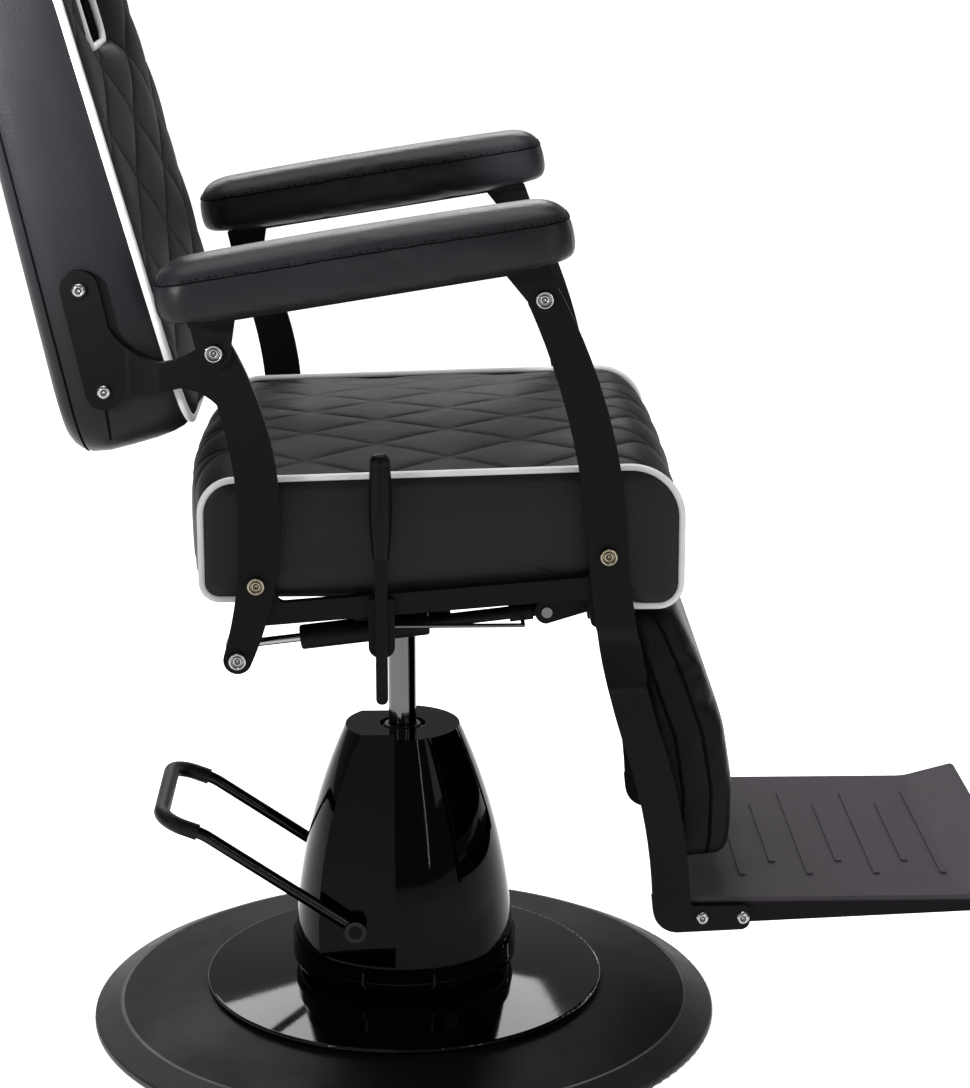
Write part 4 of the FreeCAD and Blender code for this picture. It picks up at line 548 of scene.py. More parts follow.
def paint_skin():
    """Group: the faint orange peel, dust and uneven polish of a painted or moulded surface."""
    tree, given, put = node_group("Paint skin", "Place",
                                  {"Speckle": 900.0, "Polish Low": 0.4, "Polish High": 0.5},
                                  ("Height", "Tone", "Polish"))
    slow = noise_node(tree, given["Place"], 14.0, 5.0, 0.6)
    feed(tree, put["Height"], noise_node(tree, given["Place"], given["Speckle"], 2.0))
    feed(tree, put["Tone"], slow)
    feed(tree, put["Polish"], spread_node(tree, slow, 0.3, 0.7, given["Polish Low"], given["Polish High"]))
    return tree


GROUPS = {}
MATERIALS = {}


def group_node(tree, maker, place, **values):
    """A shared group, built once, placed in a material with its own values; gives its outputs."""
    if maker not in GROUPS:
        GROUPS[maker] = maker()
    node = tree.nodes.new("ShaderNodeGroup")
    node.node_tree = GROUPS[maker]
    tree.links.new(place, node.inputs[0])
    for label, value in values.items():
        node.inputs[label.replace("_", " ").title()].default_value = value
    return node.outputs


def new_material(name, sockets):
    """A material with its shader's constant sockets set; gives it with its tree, shader and place."""
    material = bpy.data.materials.new(name)
    material.use_nodes = True
    tree = material.node_tree
    shader = tree.nodes["Principled BSDF"]
    for label, value in sockets.items():
        shader.inputs[label].default_value = value
    return material, tree, shader, tree.nodes.new("ShaderNodeTexCoord").outputs["Object"]


def surfaced(tree, shader, colour, height, depth, polish=None):
    """Feeds a shader its colour, its height through a Bump node, and its polish where that varies."""
    bump = tree.nodes.new("ShaderNodeBump")
    bump.inputs["Distance"].default_value = depth
    tree.links.new(height, bump.inputs["Height"])
    tree.links.new(bump.outputs["Normal"], shader.inputs["Normal"])
    tree.links.new(colour, shader.inputs["Base Color"])
    if polish:
        tree.links.new(polish, shader.inputs["Roughness"])


def leather(name, colour, gloss=0.15, grain=0.00013, quilt=None):
    """Leatherette with pebbled grain; a quilt of long, wide and stitch is duller and has its sewn lines, with
    painted shade in their creases.
    """
    material, tree, shader, place = new_material(name, {SHEEN: gloss})
    low, high = (0.42, 0.55) if quilt else (0.30, 0.42)
    skin = group_node(tree, leather_grain, place, polish_low=low, polish_high=high)
    base, height = mixed(tree, skin["Tone"], shaded(colour, 0.75), shaded(colour, 1.3)), skin["Height"]
    if quilt:
        flat = tree.nodes.new("ShaderNodeUVMap")
        flat.uv_map = "quilt"
        sewn = group_node(tree, quilt_seam, flat.outputs["UV"], long=quilt[0], wide=quilt[1], stitch=quilt[2])
        # The sewn lines are dark, and painted shade in their creases: a quarter of the colour, fading out
        # beside them.
        base = mixed(tree, sewn["Seam"], base, shaded(colour, 0.25))
        height = math_node(tree, "ADD", height, math_node(tree, "MULTIPLY", sewn["Thread"], 1.6))
    surfaced(tree, shader, base, height, grain, skin["Polish"])
    return material


def plywood(name):
    """Plywood stained black: long grain in two near blacks."""
    material, tree, shader, place = new_material(name, {"Roughness": 0.65})
    stretch = tree.nodes.new("ShaderNodeMapping")
    stretch.inputs["Scale"].default_value = (6, 60, 60)
    tree.links.new(place, stretch.inputs["Vector"])
    lines = noise_node(tree, stretch.outputs["Vector"], 2.5, 6.0)
    stain = mixed(tree, lines, (0.014, 0.012, 0.011, 1), (0.030, 0.026, 0.023, 1))
    surfaced(tree, shader, stain, lines, 0.0003)
    return material


SHEEN = "Specular IOR Level"
METAL = {"Metallic": 1.0}

# For each finish: its material, a colour or a colour setting and a share of it, the least and most polish,
# the scale and depth of the speckle, and the shader's constant sockets
COATS = {
    "seam": ("seam_thread", ("leather", 0.2), (0.6, 0.7), 2500, 0.0001, {SHEEN: 0.03}),
    "matte_black": ("powder_coat", ("paint", 1.0), (0.40, 0.50), 1500, 0.0001, {SHEEN: 0.08}),
    "gloss_black": ("gloss_coat", ("paint", 0.3), (0.04, 0.07), 260, 0.00001, {SHEEN: 0.20}),
    "cover_black": ("cover_coat", ("paint", 0.2), (0.04, 0.07), 260, 0.00001, {SHEEN: 0.07}),
    "tray_grey": ("tray_coat", ("tray", 1.0), (0.44, 0.54), 1700, 0.00025, {SHEEN: 0.06}),
    "black_rubber": ("black_rubber", (0.006, 0.006, 0.006), (0.36, 0.48), 1600, 0.00015, {SHEEN: 0.15}),
    "edge_rubber": ("edge_rubber", (0.012, 0.012, 0.012), (0.42, 0.55), 1200, 0.00012, {}),
    "grip_plastic": ("grip_plastic", (0.006, 0.006, 0.006), (0.20, 0.28), 600, 0.00004, {SHEEN: 0.07}),
    "piston_steel": ("piston_steel", (0.11, 0.11, 0.11), (0.08, 0.14), 700, 0.00001, METAL),
    "chrome": ("chrome", (0.30, 0.30, 0.31), (0.08, 0.14), 700, 0.00001, METAL),
    "bright_steel": ("bright_steel", (0.38, 0.38, 0.38), (0.16, 0.26), 900, 0.00003, METAL),
    "plated_steel": ("plated_steel", (0.30, 0.27, 0.20), (0.16, 0.26), 900, 0.00003, METAL),
    "machined_steel": ("machined_steel", (0.46, 0.46, 0.47), (0.28, 0.40), 1200, 0.00005, METAL),
    "bronze": ("bronze", (0.52, 0.34, 0.16), (0.3, 0.4), 900, 0.00004, METAL),
}


def coated(name):
    """Paint, rubber, plastic or metal from the table, unevenly polished; the tray's skirt also gets painted
    shade.
    """
    label, colour, (low, high), speckle, depth, sockets = COATS[name]
    if isinstance(colour[0], str):
        colour = shaded(getattr(bpy.context.scene.chair_colours, colour[0]), colour[1])
    material, tree, shader, place = new_material(label, sockets)
    skin = group_node(tree, paint_skin, place, speckle=speckle, polish_low=low, polish_high=high)
    base = mixed(tree, skin["Tone"], shaded(colour, 0.8), shaded(colour, 1.2))
    # Painted shade: below its edge the tray's skirt is darkened to 0.12 of its colour, standing in for the
    # shade on a face turned from the lamps.
    if name == "tray_grey":
        to_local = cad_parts["footrest_tray"].matrix_world.inverted()
        edge = (to_local @ Vector((0, 0, TRAY_SKIRT))).z
        above = spread_node(tree, axes(tree, place)["Z"], edge - SKIRT_SHADE_BLEND, edge, 0.0, 1.0)
        base = mixed(tree, above, shaded(colour, 0.12), base)
    surfaced(tree, shader, base, skin["Height"], depth, skin["Polish"])
    return material


def finish(name):
    """The material of a finish, made once."""
    colours, covers = bpy.context.scene.chair_colours, bpy.context.scene.chair_upholstery
    seat = (covers.quilt_long, covers.quilt_wide, covers.stitch_length)
    back = (covers.tuft_high, covers.tuft_wide, covers.stitch_length)
    makers = {
        "leather": partial(leather, "leatherette", colours.leather),
        # Painted shade: the calf pad gets the leatherette at half its colour, standing in for the shade it
        # sits in under the seat.
        "calf_leather_shaded": partial(leather, "leatherette_calf", shaded(colours.leather, 0.5), gloss=0.07),
        "seat_quilt": partial(leather, "leatherette_seat", colours.quilt, gloss=0.06, quilt=seat),
        "back_quilt": partial(leather, "leatherette_back", colours.quilt, gloss=0.06, quilt=back),
        "piping": partial(leather, "piping_white", colours.piping, grain=0.0001),
        "ply": partial(plywood, "plywood"),
    }
    if name not in MATERIALS:
        MATERIALS[name] = coated(name) if name in COATS else makers[name]()
    return MATERIALS[name]


class CHAIR_OT_seat(bpy.types.Operator):
    """Quilted seat cover with plain side panels and white piping"""

    bl_idname = "chair.seat"
    bl_label = "Seat cushion"
    cells = 28
    underside_steps, tuck = 24, 0.030
    fade_start, fade_share = 0.004, 0.25
    side_roll = 0.0125
    side_insets = (0.0006, 0.002, 0.004, 0.007, 0.010, side_roll)
    side_shares = (0.2, 0.45, 0.75, 1.0)
    piping_front, piping_rear, piping_steps = 0.365, 0.353, 180
    piping_lift, piping_proud = 0.0015, 0.0008

    def outline(self):
        """Side view of the cushion under its crown, from the middle of its underside, with a front lip."""
        low, lip = SEAT_LOW.z + 0.009, SEAT_LOW.z
        return Outline([((SEAT_REAR + SEAT_FRONT) / 2, low, 0.0), (SEAT_FRONT - 0.051, low, 0.0),
                        (SEAT_FRONT - 0.042, lip, 0.0), (SEAT_FRONT, lip, 0.020),
                        (SEAT_FRONT, SEAT_TOP_FRONT, 0.046), (SEAT_REAR, SEAT_TOP_REAR, 0.030),
                        (SEAT_REAR, low, 0.014)])

    def execute(self, context):
        covers = context.scene.chair_upholstery
        outline = self.outline()
        step, across = covers.quilt_long / self.cells, covers.quilt_wide / self.cells
        top_middle = outline.length * 0.5
        rise = SEAT_TOP_FRONT - SEAT_LOW.z
        tucked = (SEAT_FRONT - SEAT_REAR) / 2 - self.tuck
        first_row = -int((top_middle - tucked) / step)
        rows = -2 * first_row
        stops = [top_middle + (first_row + i) * step for i in range(rows + 1)]
        rest = outline.length - (stops[-1] - stops[0])
        stops += [stops[-1] + rest * k / self.underside_steps for k in range(1, self.underside_steps + 1)]
        columns = 2 * math.floor(SEAT_HALF_WIDTH / across)
        lanes = [(j - columns / 2) * across for j in range(columns + 1)]
        lanes[0], lanes[-1] = -SEAT_HALF_WIDTH, SEAT_HALF_WIDTH

        def place(i, j):
            spot, out = outline.at(stops[i])
            share = abs(lanes[j]) / SEAT_HALF_WIDTH
            crown = SEAT_CROWN * (1 - share ** SEAT_CROWN_POWER)
            lean = CROWN_FRONT if out.x > 0 else CROWN_REAR
            spot = spot + Vector((out.x * lean, max(out.y, 0))) * crown
            edge = swell_to(SEAT_HALF_WIDTH - abs(lanes[j]), EDGE_ROLL)
            above = (spot.y - SEAT_LOW.z - self.fade_start) / rise
            under = swell_to(above, self.fade_share) if i <= rows else 0
            height = pillow(stops[i] - top_middle, lanes[j], covers.quilt_long, covers.quilt_wide)
            spot = spot - out * covers.quilt_depth * (1 - height) * edge * under
            return Vector((spot.x, lanes[j], spot.y))

        def crease(i, j):
            return crease_way(i + first_row, j - columns // 2, self.cells) if i < rows else 0

        bm, spots = surface_grid(len(stops) - 1, columns, place, crease)
        map_quilt(bm, spots, lambda i, j: (stops[i] - top_middle, lanes[j]))
        outward = [outline.at(stop)[1] for stop in stops]
        for j, side in ((0, -1), (columns, 1)):
            self.side_panel(bm, [spots[i, j] for i in range(len(stops))], outward, side)
        mesh = to_mesh("seat_cover", bm)
        finished("seat_cover", mesh, "seat", "seat_quilt", ("seat_cushion",))
        mesh.materials.append(finish("leather"))
        for face in mesh.polygons:
            if abs(face.center.y) > SEAT_HALF_WIDTH:
                face.material_index = 1
        self.pipe(outline, covers.piping_radius * THIN_PIPING)
        return {"FINISHED"}

    def side_panel(self, bm, row, outward, side):
        """Closes one side from the cover's edge: rings over a low bulge, then in to the middle."""
        edge = [Vector((vert.co.x, vert.co.z)) for vert in row]
        heart = Vector(((SEAT_REAR + SEAT_FRONT) / 2, (SEAT_TOP_REAR + SEAT_LOW.z) / 2))
        rings = [(inset, 0) for inset in self.side_insets]
        rings += [(self.side_roll, share) for share in self.side_shares]
        for inset, share in rings:
            flat = [(spot - out * inset).lerp(heart, share) for spot, out in zip(edge, outward)]
            bulge = SEAT_BULGE * (0.8 * swell_to(inset, self.side_roll) + 0.2 * swell_to(share, 1))
            y = side * (SEAT_HALF_WIDTH + bulge)
            row = step_ring(bm, row, [(spot.x, y, spot.y) for spot in flat], closed=False)

    def pipe(self, outline, radius):
        """White piping along both side edges, from under the front to under the rear."""
        start = outline.length * 0.5 - self.piping_front
        end = outline.length * 0.5 + self.piping_rear
        for name, side in SIDES.items():
            line = []
            for k in range(self.piping_steps + 1):
                spot, out = outline.at(start + (end - start) * k / self.piping_steps)
                spot = spot + out * self.piping_lift
                line.append(Vector((spot.x, side * (SEAT_HALF_WIDTH + self.piping_proud), spot.y)))
            sewn_cord("seat_piping_" + name, [line], radius, "seat")


def back_box(inset=0.0):
    """Edges and corner radii of the backrest's front, drawn in."""
    corners = [max(corner - inset * 0.3, 0.02) for corner in (BACK_CORNER_LOW, BACK_CORNER_HIGH)]
    return -BACK_HALF_WIDTH + inset, BACK_HALF_WIDTH - inset, inset, BACK_HEIGHT - inset, *corners


def slot_box(side, cover=0.0):
    """Edges and corner radii of a hand slot, shortened at its inner end by a cover."""
    ends = sorted((side * (SLOT_Y - SLOT_HALF_WIDTH + cover), side * (SLOT_Y + SLOT_HALF_WIDTH)))
    return *ends, SLOT_LOW, SLOT_HIGH, SLOT_CORNER, SLOT_CORNER


def on_back(depth, spots):
    """Points of the backrest's front, at a depth out from it, in the chair."""
    return [BACK_PLACE @ Vector((depth, spot.x, spot.y)) for spot in spots]


class CHAIR_OT_backrest(bpy.types.Operator):
    """Tufted backrest cushion, padded shell, hand slots and white piping"""

    bl_idname = "chair.backrest"
    bl_label = "Backrest"
    cells = 22
    cushion_back = -0.008
    rim_fade, slot_fade = 0.03, 0.02
    dome_ends, dome_slot = 0.12, 0.05
    # Share of the shell's depth and inset there, from the front to the rear
    shell_levels = ((0.0, 0.0), (0.06, -0.004), (0.15, -0.0065), (0.30, -0.008), (0.50, -0.0083),
                    (0.68, -0.008), (0.82, -0.0055), (0.90, -0.001), (0.95, 0.004), (0.985, 0.010),
                    (1.0, 0.018))
    rear_pulls = (0.06, 0.14, 0.26, 0.42, 0.6, 0.8, 1.0)
    puff, puff_reach = 0.006, 0.6
    shell_front = -0.004
    spine_low, spine_high = 0.2, 0.34
    cutter_reach, cutter_points = 0.2, 64
    piping_ahead = 0.0005
    seam_level, seam_radius = (0.87, -0.004), 0.0012
    low_seam = ((-0.261, 0.680), (-0.2586, 0.646))

    def execute(self, context):
        covers = context.scene.chair_upholstery
        self.cushion(covers)
        self.shell()
        edge = on_back(self.piping_ahead, rounded_box(*back_box()).points(320))
        sewn_cord("back_piping", [edge], covers.piping_radius, "back", closed=True)
        for name, side in SIDES.items():
            edge = on_back(BACK_ROLL, rounded_box(*slot_box(side)).points(120))
            sewn_cord("slot_piping_" + name, [edge], covers.piping_radius * THIN_PIPING, "back", closed=True)
        return {"FINISHED"}

    def face_distance(self, y, z):
        """How far a point lies inside the backrest's front and outside its slots, as two distances."""
        return inside_distance(y, z, *back_box()), -inside_distance(abs(y), z, *slot_box(1))

    def cushion(self, covers):
        """The tufted front: a grid along the creases, trimmed to the outline, rolled at its edges, closed."""
        high, wide = covers.tuft_high / self.cells, covers.tuft_wide / self.cells
        rows, columns = math.ceil(BACK_HEIGHT / high) + 2, 2 * math.ceil(BACK_HALF_WIDTH / wide + 1)
        middle = rows // 2

        def flat(i, j):
            return (i - middle) * high, (j - columns / 2) * wide

        def place(i, j):
            z, y = flat(i, j)
            return Vector((0, y, BACK_HEIGHT / 2 + z))

        def crease(i, j):
            return crease_way(i - middle, j - columns // 2, self.cells)

        bm, spots = surface_grid(rows, columns, place, crease)
        map_quilt(bm, spots, flat)
        outside = [vert for vert in bm.verts if min(self.face_distance(vert.co.y, vert.co.z)) < -0.4 * wide]
        bmesh.ops.delete(bm, geom=outside, context="VERTS")
        for vert in [vert for vert in bm.verts if vert.is_boundary]:
            self.snap(vert)
        for vert in bm.verts:
            rim, slot = self.face_distance(vert.co.y, vert.co.z)
            height = pillow(vert.co.z - BACK_HEIGHT / 2, vert.co.y, covers.tuft_high, covers.tuft_wide)
            fade = swell_to(rim, self.rim_fade) * swell_to(slot, self.slot_fade)
            barrel = math.cos(math.pi / 2 * vert.co.y / BACK_HALF_WIDTH) ** 2
            ends = swell_to(min(vert.co.z, BACK_HEIGHT - vert.co.z), self.dome_ends)
            dome = BACK_DOME * barrel * ends * swell_to(slot, self.dome_slot)
            crown = BACK_ROLL * swell_to(rim, EDGE_ROLL) + dome
            vert.co.x = crown - covers.tuft_depth * (1 - height) * fade
        loose = [vert for vert in bm.verts if not vert.link_faces]
        bmesh.ops.delete(bm, geom=loose, context="VERTS")
        rim = [edge for edge in bm.edges if edge.is_boundary]
        made = bmesh.ops.extrude_edge_only(bm, edges=rim)
        for vert in new_verts(made):
            vert.co.x = self.cushion_back
        back = [item for item in made["geom"] if isinstance(item, bmesh.types.BMEdge) and item.is_boundary]
        bmesh.ops.triangle_fill(bm, edges=back, use_beauty=False)
        mesh = to_mesh("back_cover", bm, BACK_PLACE)
        finished("back_cover", mesh, "back", "back_quilt", ("back_cushion",))

    def snap(self, vert):
        """Moves a boundary vertex straight to the nearest edge of the outline or a slot, in three steps."""
        small = 0.0005
        for _ in range(3):
            y, z = vert.co.y, vert.co.z
            rim, slot = self.face_distance(y, z)
            pick = 0 if rim < slot else 1
            gap = (rim, slot)[pick]
            slope = Vector((self.face_distance(y + small, z)[pick] - gap,
                            self.face_distance(y, z + small)[pick] - gap))
            if slope.length > 0:
                move = slope.normalized() * gap
                vert.co.y -= move.x
                vert.co.z -= move.y

    def shell_ring(self, share, inset, pull=0.0):
        """A ring of the shell at a share of its depth, drawn in and pulled to a spine on a low swell."""
        puff = self.puff * swell_to(pull, self.puff_reach)
        places = []
        for spot in rounded_box(*back_box(inset)).points(240):
            if pull:
                spot = spot.lerp(Vector((0, clamp(spot.y, self.spine_low, self.spine_high))), pull)
            depth = BACK_DEPTH_LOW + (BACK_DEPTH_HIGH - BACK_DEPTH_LOW) * spot.y / BACK_HEIGHT
            places.append(Vector((-depth * share - puff, spot.x, spot.y)))
        return places

    def shell(self):
        """Padded sides and rear of the backrest, with the slots cut through, and the seams on them."""
        spine = [Vector((self.shell_front, 0, clamp(spot.z, self.spine_low, self.spine_high)))
                 for spot in self.shell_ring(0, 0.0)]
        front = [Vector((self.shell_front, spot.y * 0.98, spot.z)) for spot in self.shell_ring(0, 0.004)]
        rings = [spine, front] + [self.shell_ring(share, inset) for share, inset in self.shell_levels]
        rings += [self.shell_ring(*self.shell_levels[-1], pull) for pull in self.rear_pulls]
        solid = placed("shell", to_mesh("back_shell_cover", ring_loft(rings), BACK_PLACE))
        cutters = []
        for side in SIDES.values():
            cutters.append(self.cutter(side))
            cut = solid.modifiers.new("Slot", "BOOLEAN")
            cut.operation = "DIFFERENCE"
            cut.solver = "EXACT"
            cut.object = cutters[-1]
        mesh = evaluated(solid)
        for item in cutters + [solid]:
            bpy.data.objects.remove(item)
        finished("back_shell_cover", mesh, "back", "leather", ("back_shell",))
        mesh.set_sharp_from_angle(angle=math.radians(40))
        edge = [BACK_PLACE @ spot for spot in self.shell_ring(*self.seam_level)]
        lines = [on_surface(mesh, edge + edge[:1], 0.0)]
        for side in SIDES.values():
            start, end = [Vector((x, side * BACK_HALF_WIDTH, z)) for x, z in self.low_seam]
            lines.append(on_surface(mesh, [start.lerp(end, k / 12) for k in range(13)], 0.0))
        sewn_cord("back_seams", lines, self.seam_radius, "back", "seam")

    def cutter(self, side):
        """A block through the backrest in the shape of a hand slot."""
        bm = bmesh.new()
        corners = bmesh.ops.create_circle(bm, segments=self.cutter_points, radius=1, cap_ends=True)["verts"]
        for vert, spot in zip(corners, rounded_box(*slot_box(side, GUIDE_COVER)).points(self.cutter_points)):
            vert.co = (-self.cutter_reach, spot.x, spot.y)
        for vert in new_verts(bmesh.ops.extrude_face_region(bm, geom=list(bm.faces))):
            vert.co.x = self.cutter_reach
        return placed("slot", to_mesh("slot", bm, BACK_PLACE))


class CHAIR_OT_armrests(bpy.types.Operator):
    """Two padded armrests with a seam and a row of stitches round each"""

    bl_idname = "chair.armrests"
    bl_label = "Armrests"
    # Share of the pad's thickness and inset there, from the underside up
    levels = ((0.0, 0.008), (0.06, 0.003), (0.14, 0.001), (0.30, 0.0), (0.50, 0.0004), (0.66, 0.0018),
              (0.78, 0.0045), (0.88, 0.0095), (0.95, 0.0150), (0.99, 0.0205))
    seam_height, seam_radius, seam_lift = 0.0715, 0.0008, 0.0002
    stitch_height, stitch_radius, stitch_lift = 0.0745, 0.0006, 0.0003

    def execute(self, context):
        covers = context.scene.chair_upholstery
        for name, side in SIDES.items():
            body = "armrest_" + name
            place = Matrix.Translation((0, side * ARM_Y, 0)) @ ARM_PLACE
            rings = pad_rings(self.ring, self.levels, 0.006, 0.020, 0.03)
            mesh = swollen(to_mesh("armrest_pad", ring_loft(rings), place), covers.swell)
            finished("armrest_cover_" + name, mesh, body, "leather", ("armrest_pad_" + name,))
            plan = self.plan().points(260)
            line = [place @ spot for spot in self.raised(plan, self.seam_height)]
            seam = on_surface(mesh, line, self.seam_lift)
            sewn_cord("armrest_seam_" + name, [seam], self.seam_radius, body, "seam", closed=True)
            line = [place @ spot for spot in self.raised(plan, self.stitch_height)]
            path = on_surface(mesh, line, self.stitch_lift)
            label = "armrest_stitches_" + name
            row = stitches(label, path + path[:1], covers.stitch_length, self.stitch_radius)
            finished(label, row, body, "seam")
        return {"FINISHED"}

    def plan(self, inset=0.0):
        """The pad seen from above, drawn in."""
        corner = ARM_CORNER - 0.6 * inset
        return rounded_box(-ARM_BEHIND + inset, ARM_SPAN + ARM_AHEAD - inset, -ARM_HALF_WIDTH + inset,
                           ARM_HALF_WIDTH - inset, corner, corner)

    def raised(self, spots, height):
        """Points of the plan at a height above the line of the pivots."""
        return [Vector((spot.x, spot.y, height)) for spot in spots]

    def ring(self, share, inset, pull=0.0):
        """A ring of the pad at a share of its thickness, drawn in, and pulled towards its middle line."""
        spots = towards(self.plan(inset).points(180), pull, 0.0, ARM_SPAN, 0.0)
        return self.raised(spots, ARM_LOW + ARM_THICK * share)


class CHAIR_OT_calf_pad(bpy.types.Operator):
    """Padded calf rest with two dark seams on each side"""

    bl_idname = "chair.calf_pad"
    bl_label = "Calf pad"
    # Side view: the ends of the board's front and of the pad's rear, then the pad's depth at shares of the
    # board's length, and the radii that round the pad there
    top, low = Vector((0.234, 0.466)), Vector((0.270, 0.214))
    rear_top, rear_low = Vector((0.215, 0.468)), Vector((0.259, 0.214))
    length, down = (low - top).length, (low - top).normalized()
    out = Vector((-down.y, down.x))
    depths = ((0.0, 0.022), (0.25, 0.041), (0.5, 0.0535), (0.72, 0.0545), (0.9, 0.048), (1.0, 0.042))
    bends = (0.010, 0.05, 0.08, 0.08, 0.05, 0.012)
    rear_bend = 0.004
    # Share of the half width, inset and share of the depth there, from the side to near the middle
    half_width = 0.164
    sections = ((1.0, 0.010, 0.80), (0.985, 0.004, 0.90), (0.95, 0.001, 0.95), (0.85, 0.0, 0.985),
                (0.6, 0.0, 1.0), (0.3, 0.0, 1.0))
    spine_ahead, spine_half, spine_lean, cap_bulge = 0.022, 0.075, 0.015, 0.012
    seam_insets, seam_radius, seam_side, seam_lift = (0.019, 0.046), 0.0017, 1.02, 0.0002

    def execute(self, context):
        rings = [(y, self.profile(inset, share).points(160)) for y, inset, share in self.sections]
        sides = [(-y, ring) for y, ring in rings] + [(0.0, self.profile(0, 1).points(160))] + rings[::-1]
        skin = [[Vector((spot.x, y * self.half_width, spot.y)) for spot in ring] for y, ring in sides]
        shape = ring_loft(self.cap(skin[0])[::-1] + skin + self.cap(skin[-1]))
        mesh = swollen(to_mesh("calf_pad", shape), context.scene.chair_upholstery.swell)
        finished("calf_cover", mesh, "legs", "calf_leather_shaded", ("calf_pad",))
        lines = []
        for side in SIDES.values():
            for inset in self.seam_insets:
                spots = [self.top + self.down * self.length * along + self.out * (depth - inset)
                         for along, depth in self.depths]
                path = []
                for start, end in zip(spots, spots[1:]):
                    path += [start.lerp(end, k / 16) for k in range(16)]
                row = [Vector((spot.x, side * self.seam_side * self.half_width, spot.y)) for spot in path]
                lines.append(on_surface(mesh, row, self.seam_lift))
        sewn_cord("calf_seams", lines, self.seam_radius, "legs", "seam")
        return {"FINISHED"}

    def profile(self, inset, share):
        """Side view of the pad, drawn in, with its depth scaled by a share."""
        rear = (self.rear_top + self.down * inset, self.rear_low - self.down * inset)
        corners = [(spot.x, spot.y, self.rear_bend) for spot in rear]
        for (along, depth), bend in zip(reversed(self.depths), reversed(self.bends)):
            spot = self.top + self.down * (inset + (self.length - 2 * inset) * along)
            spot = spot + self.out * (depth * share - inset * 0.4)
            corners.append((spot.x, spot.y, bend))
        return Outline(corners)

    def cap(self, ring):
        """Rings that close a side of the pad on a low bulge, towards a leaning spine."""
        middle = (self.top + self.low) / 2
        low, high = middle.y - self.spine_half, middle.y + self.spine_half
        rings = []
        for pull in (0.25, 0.55, 0.8, 1.0):
            bulge = 1 + self.cap_bulge * swell_to(pull, 1)
            places = []
            for point in ring:
                level = clamp(point.z, low, high)
                lean = self.spine_lean * (high - level) / (2 * self.spine_half)
                heart = Vector((middle.x + self.spine_ahead + lean, point.y * bulge, level))
                places.append(point.lerp(heart, pull))
            rings.append(places)
        return rings


class CHAIR_OT_headrest(bpy.types.Operator):
    """Padded headrest with piping round its face"""

    bl_idname = "chair.headrest"
    bl_label = "Headrest"
    low, high, half_width, corner = 0.554, 0.674, 0.128, 0.036
    spine_inset = 0.06
    # Distance ahead of the backrest's front and inset there, from the rear to the front
    levels = ((-0.0468, 0.010), (-0.044, 0.0055), (-0.039, 0.002), (-0.030, 0.0004), (-0.016, 0.0),
              (0.004, 0.0), (0.012, 0.001), (0.019, 0.0035), (0.025, 0.009), (0.029, 0.016), (0.0305, 0.022))
    piping_ahead, piping_lift = 0.010, 0.001

    def execute(self, context):
        covers = context.scene.chair_upholstery
        rings = pad_rings(self.ring, self.levels, self.levels[0][1], self.levels[-1][1], 0.001)
        mesh = swollen(to_mesh("headrest_cover", ring_loft(rings), BACK_PLACE), covers.swell)
        finished("headrest_cover", mesh, "headrest", "leather", ("headrest_pad",))
        edge = on_surface(mesh, on_back(self.piping_ahead, self.face().points(200)), self.piping_lift)
        sewn_cord("headrest_piping", [edge], covers.piping_radius * THIN_PIPING, "headrest", closed=True)
        return {"FINISHED"}

    def face(self, inset=0.0):
        """The headrest seen from the front, drawn in."""
        corner = self.corner - 0.4 * inset
        return rounded_box(-self.half_width + inset, self.half_width - inset, self.low + inset,
                           self.high - inset, corner, corner)

    def ring(self, x, inset, pull=0.0):
        """A ring of the headrest, drawn in, and pulled towards its middle line."""
        end = self.half_width - self.spine_inset
        spots = towards(self.face(inset).points(160), pull, -end, end, (self.low + self.high) / 2)
        return [Vector((x, spot.x, spot.y)) for spot in spots]


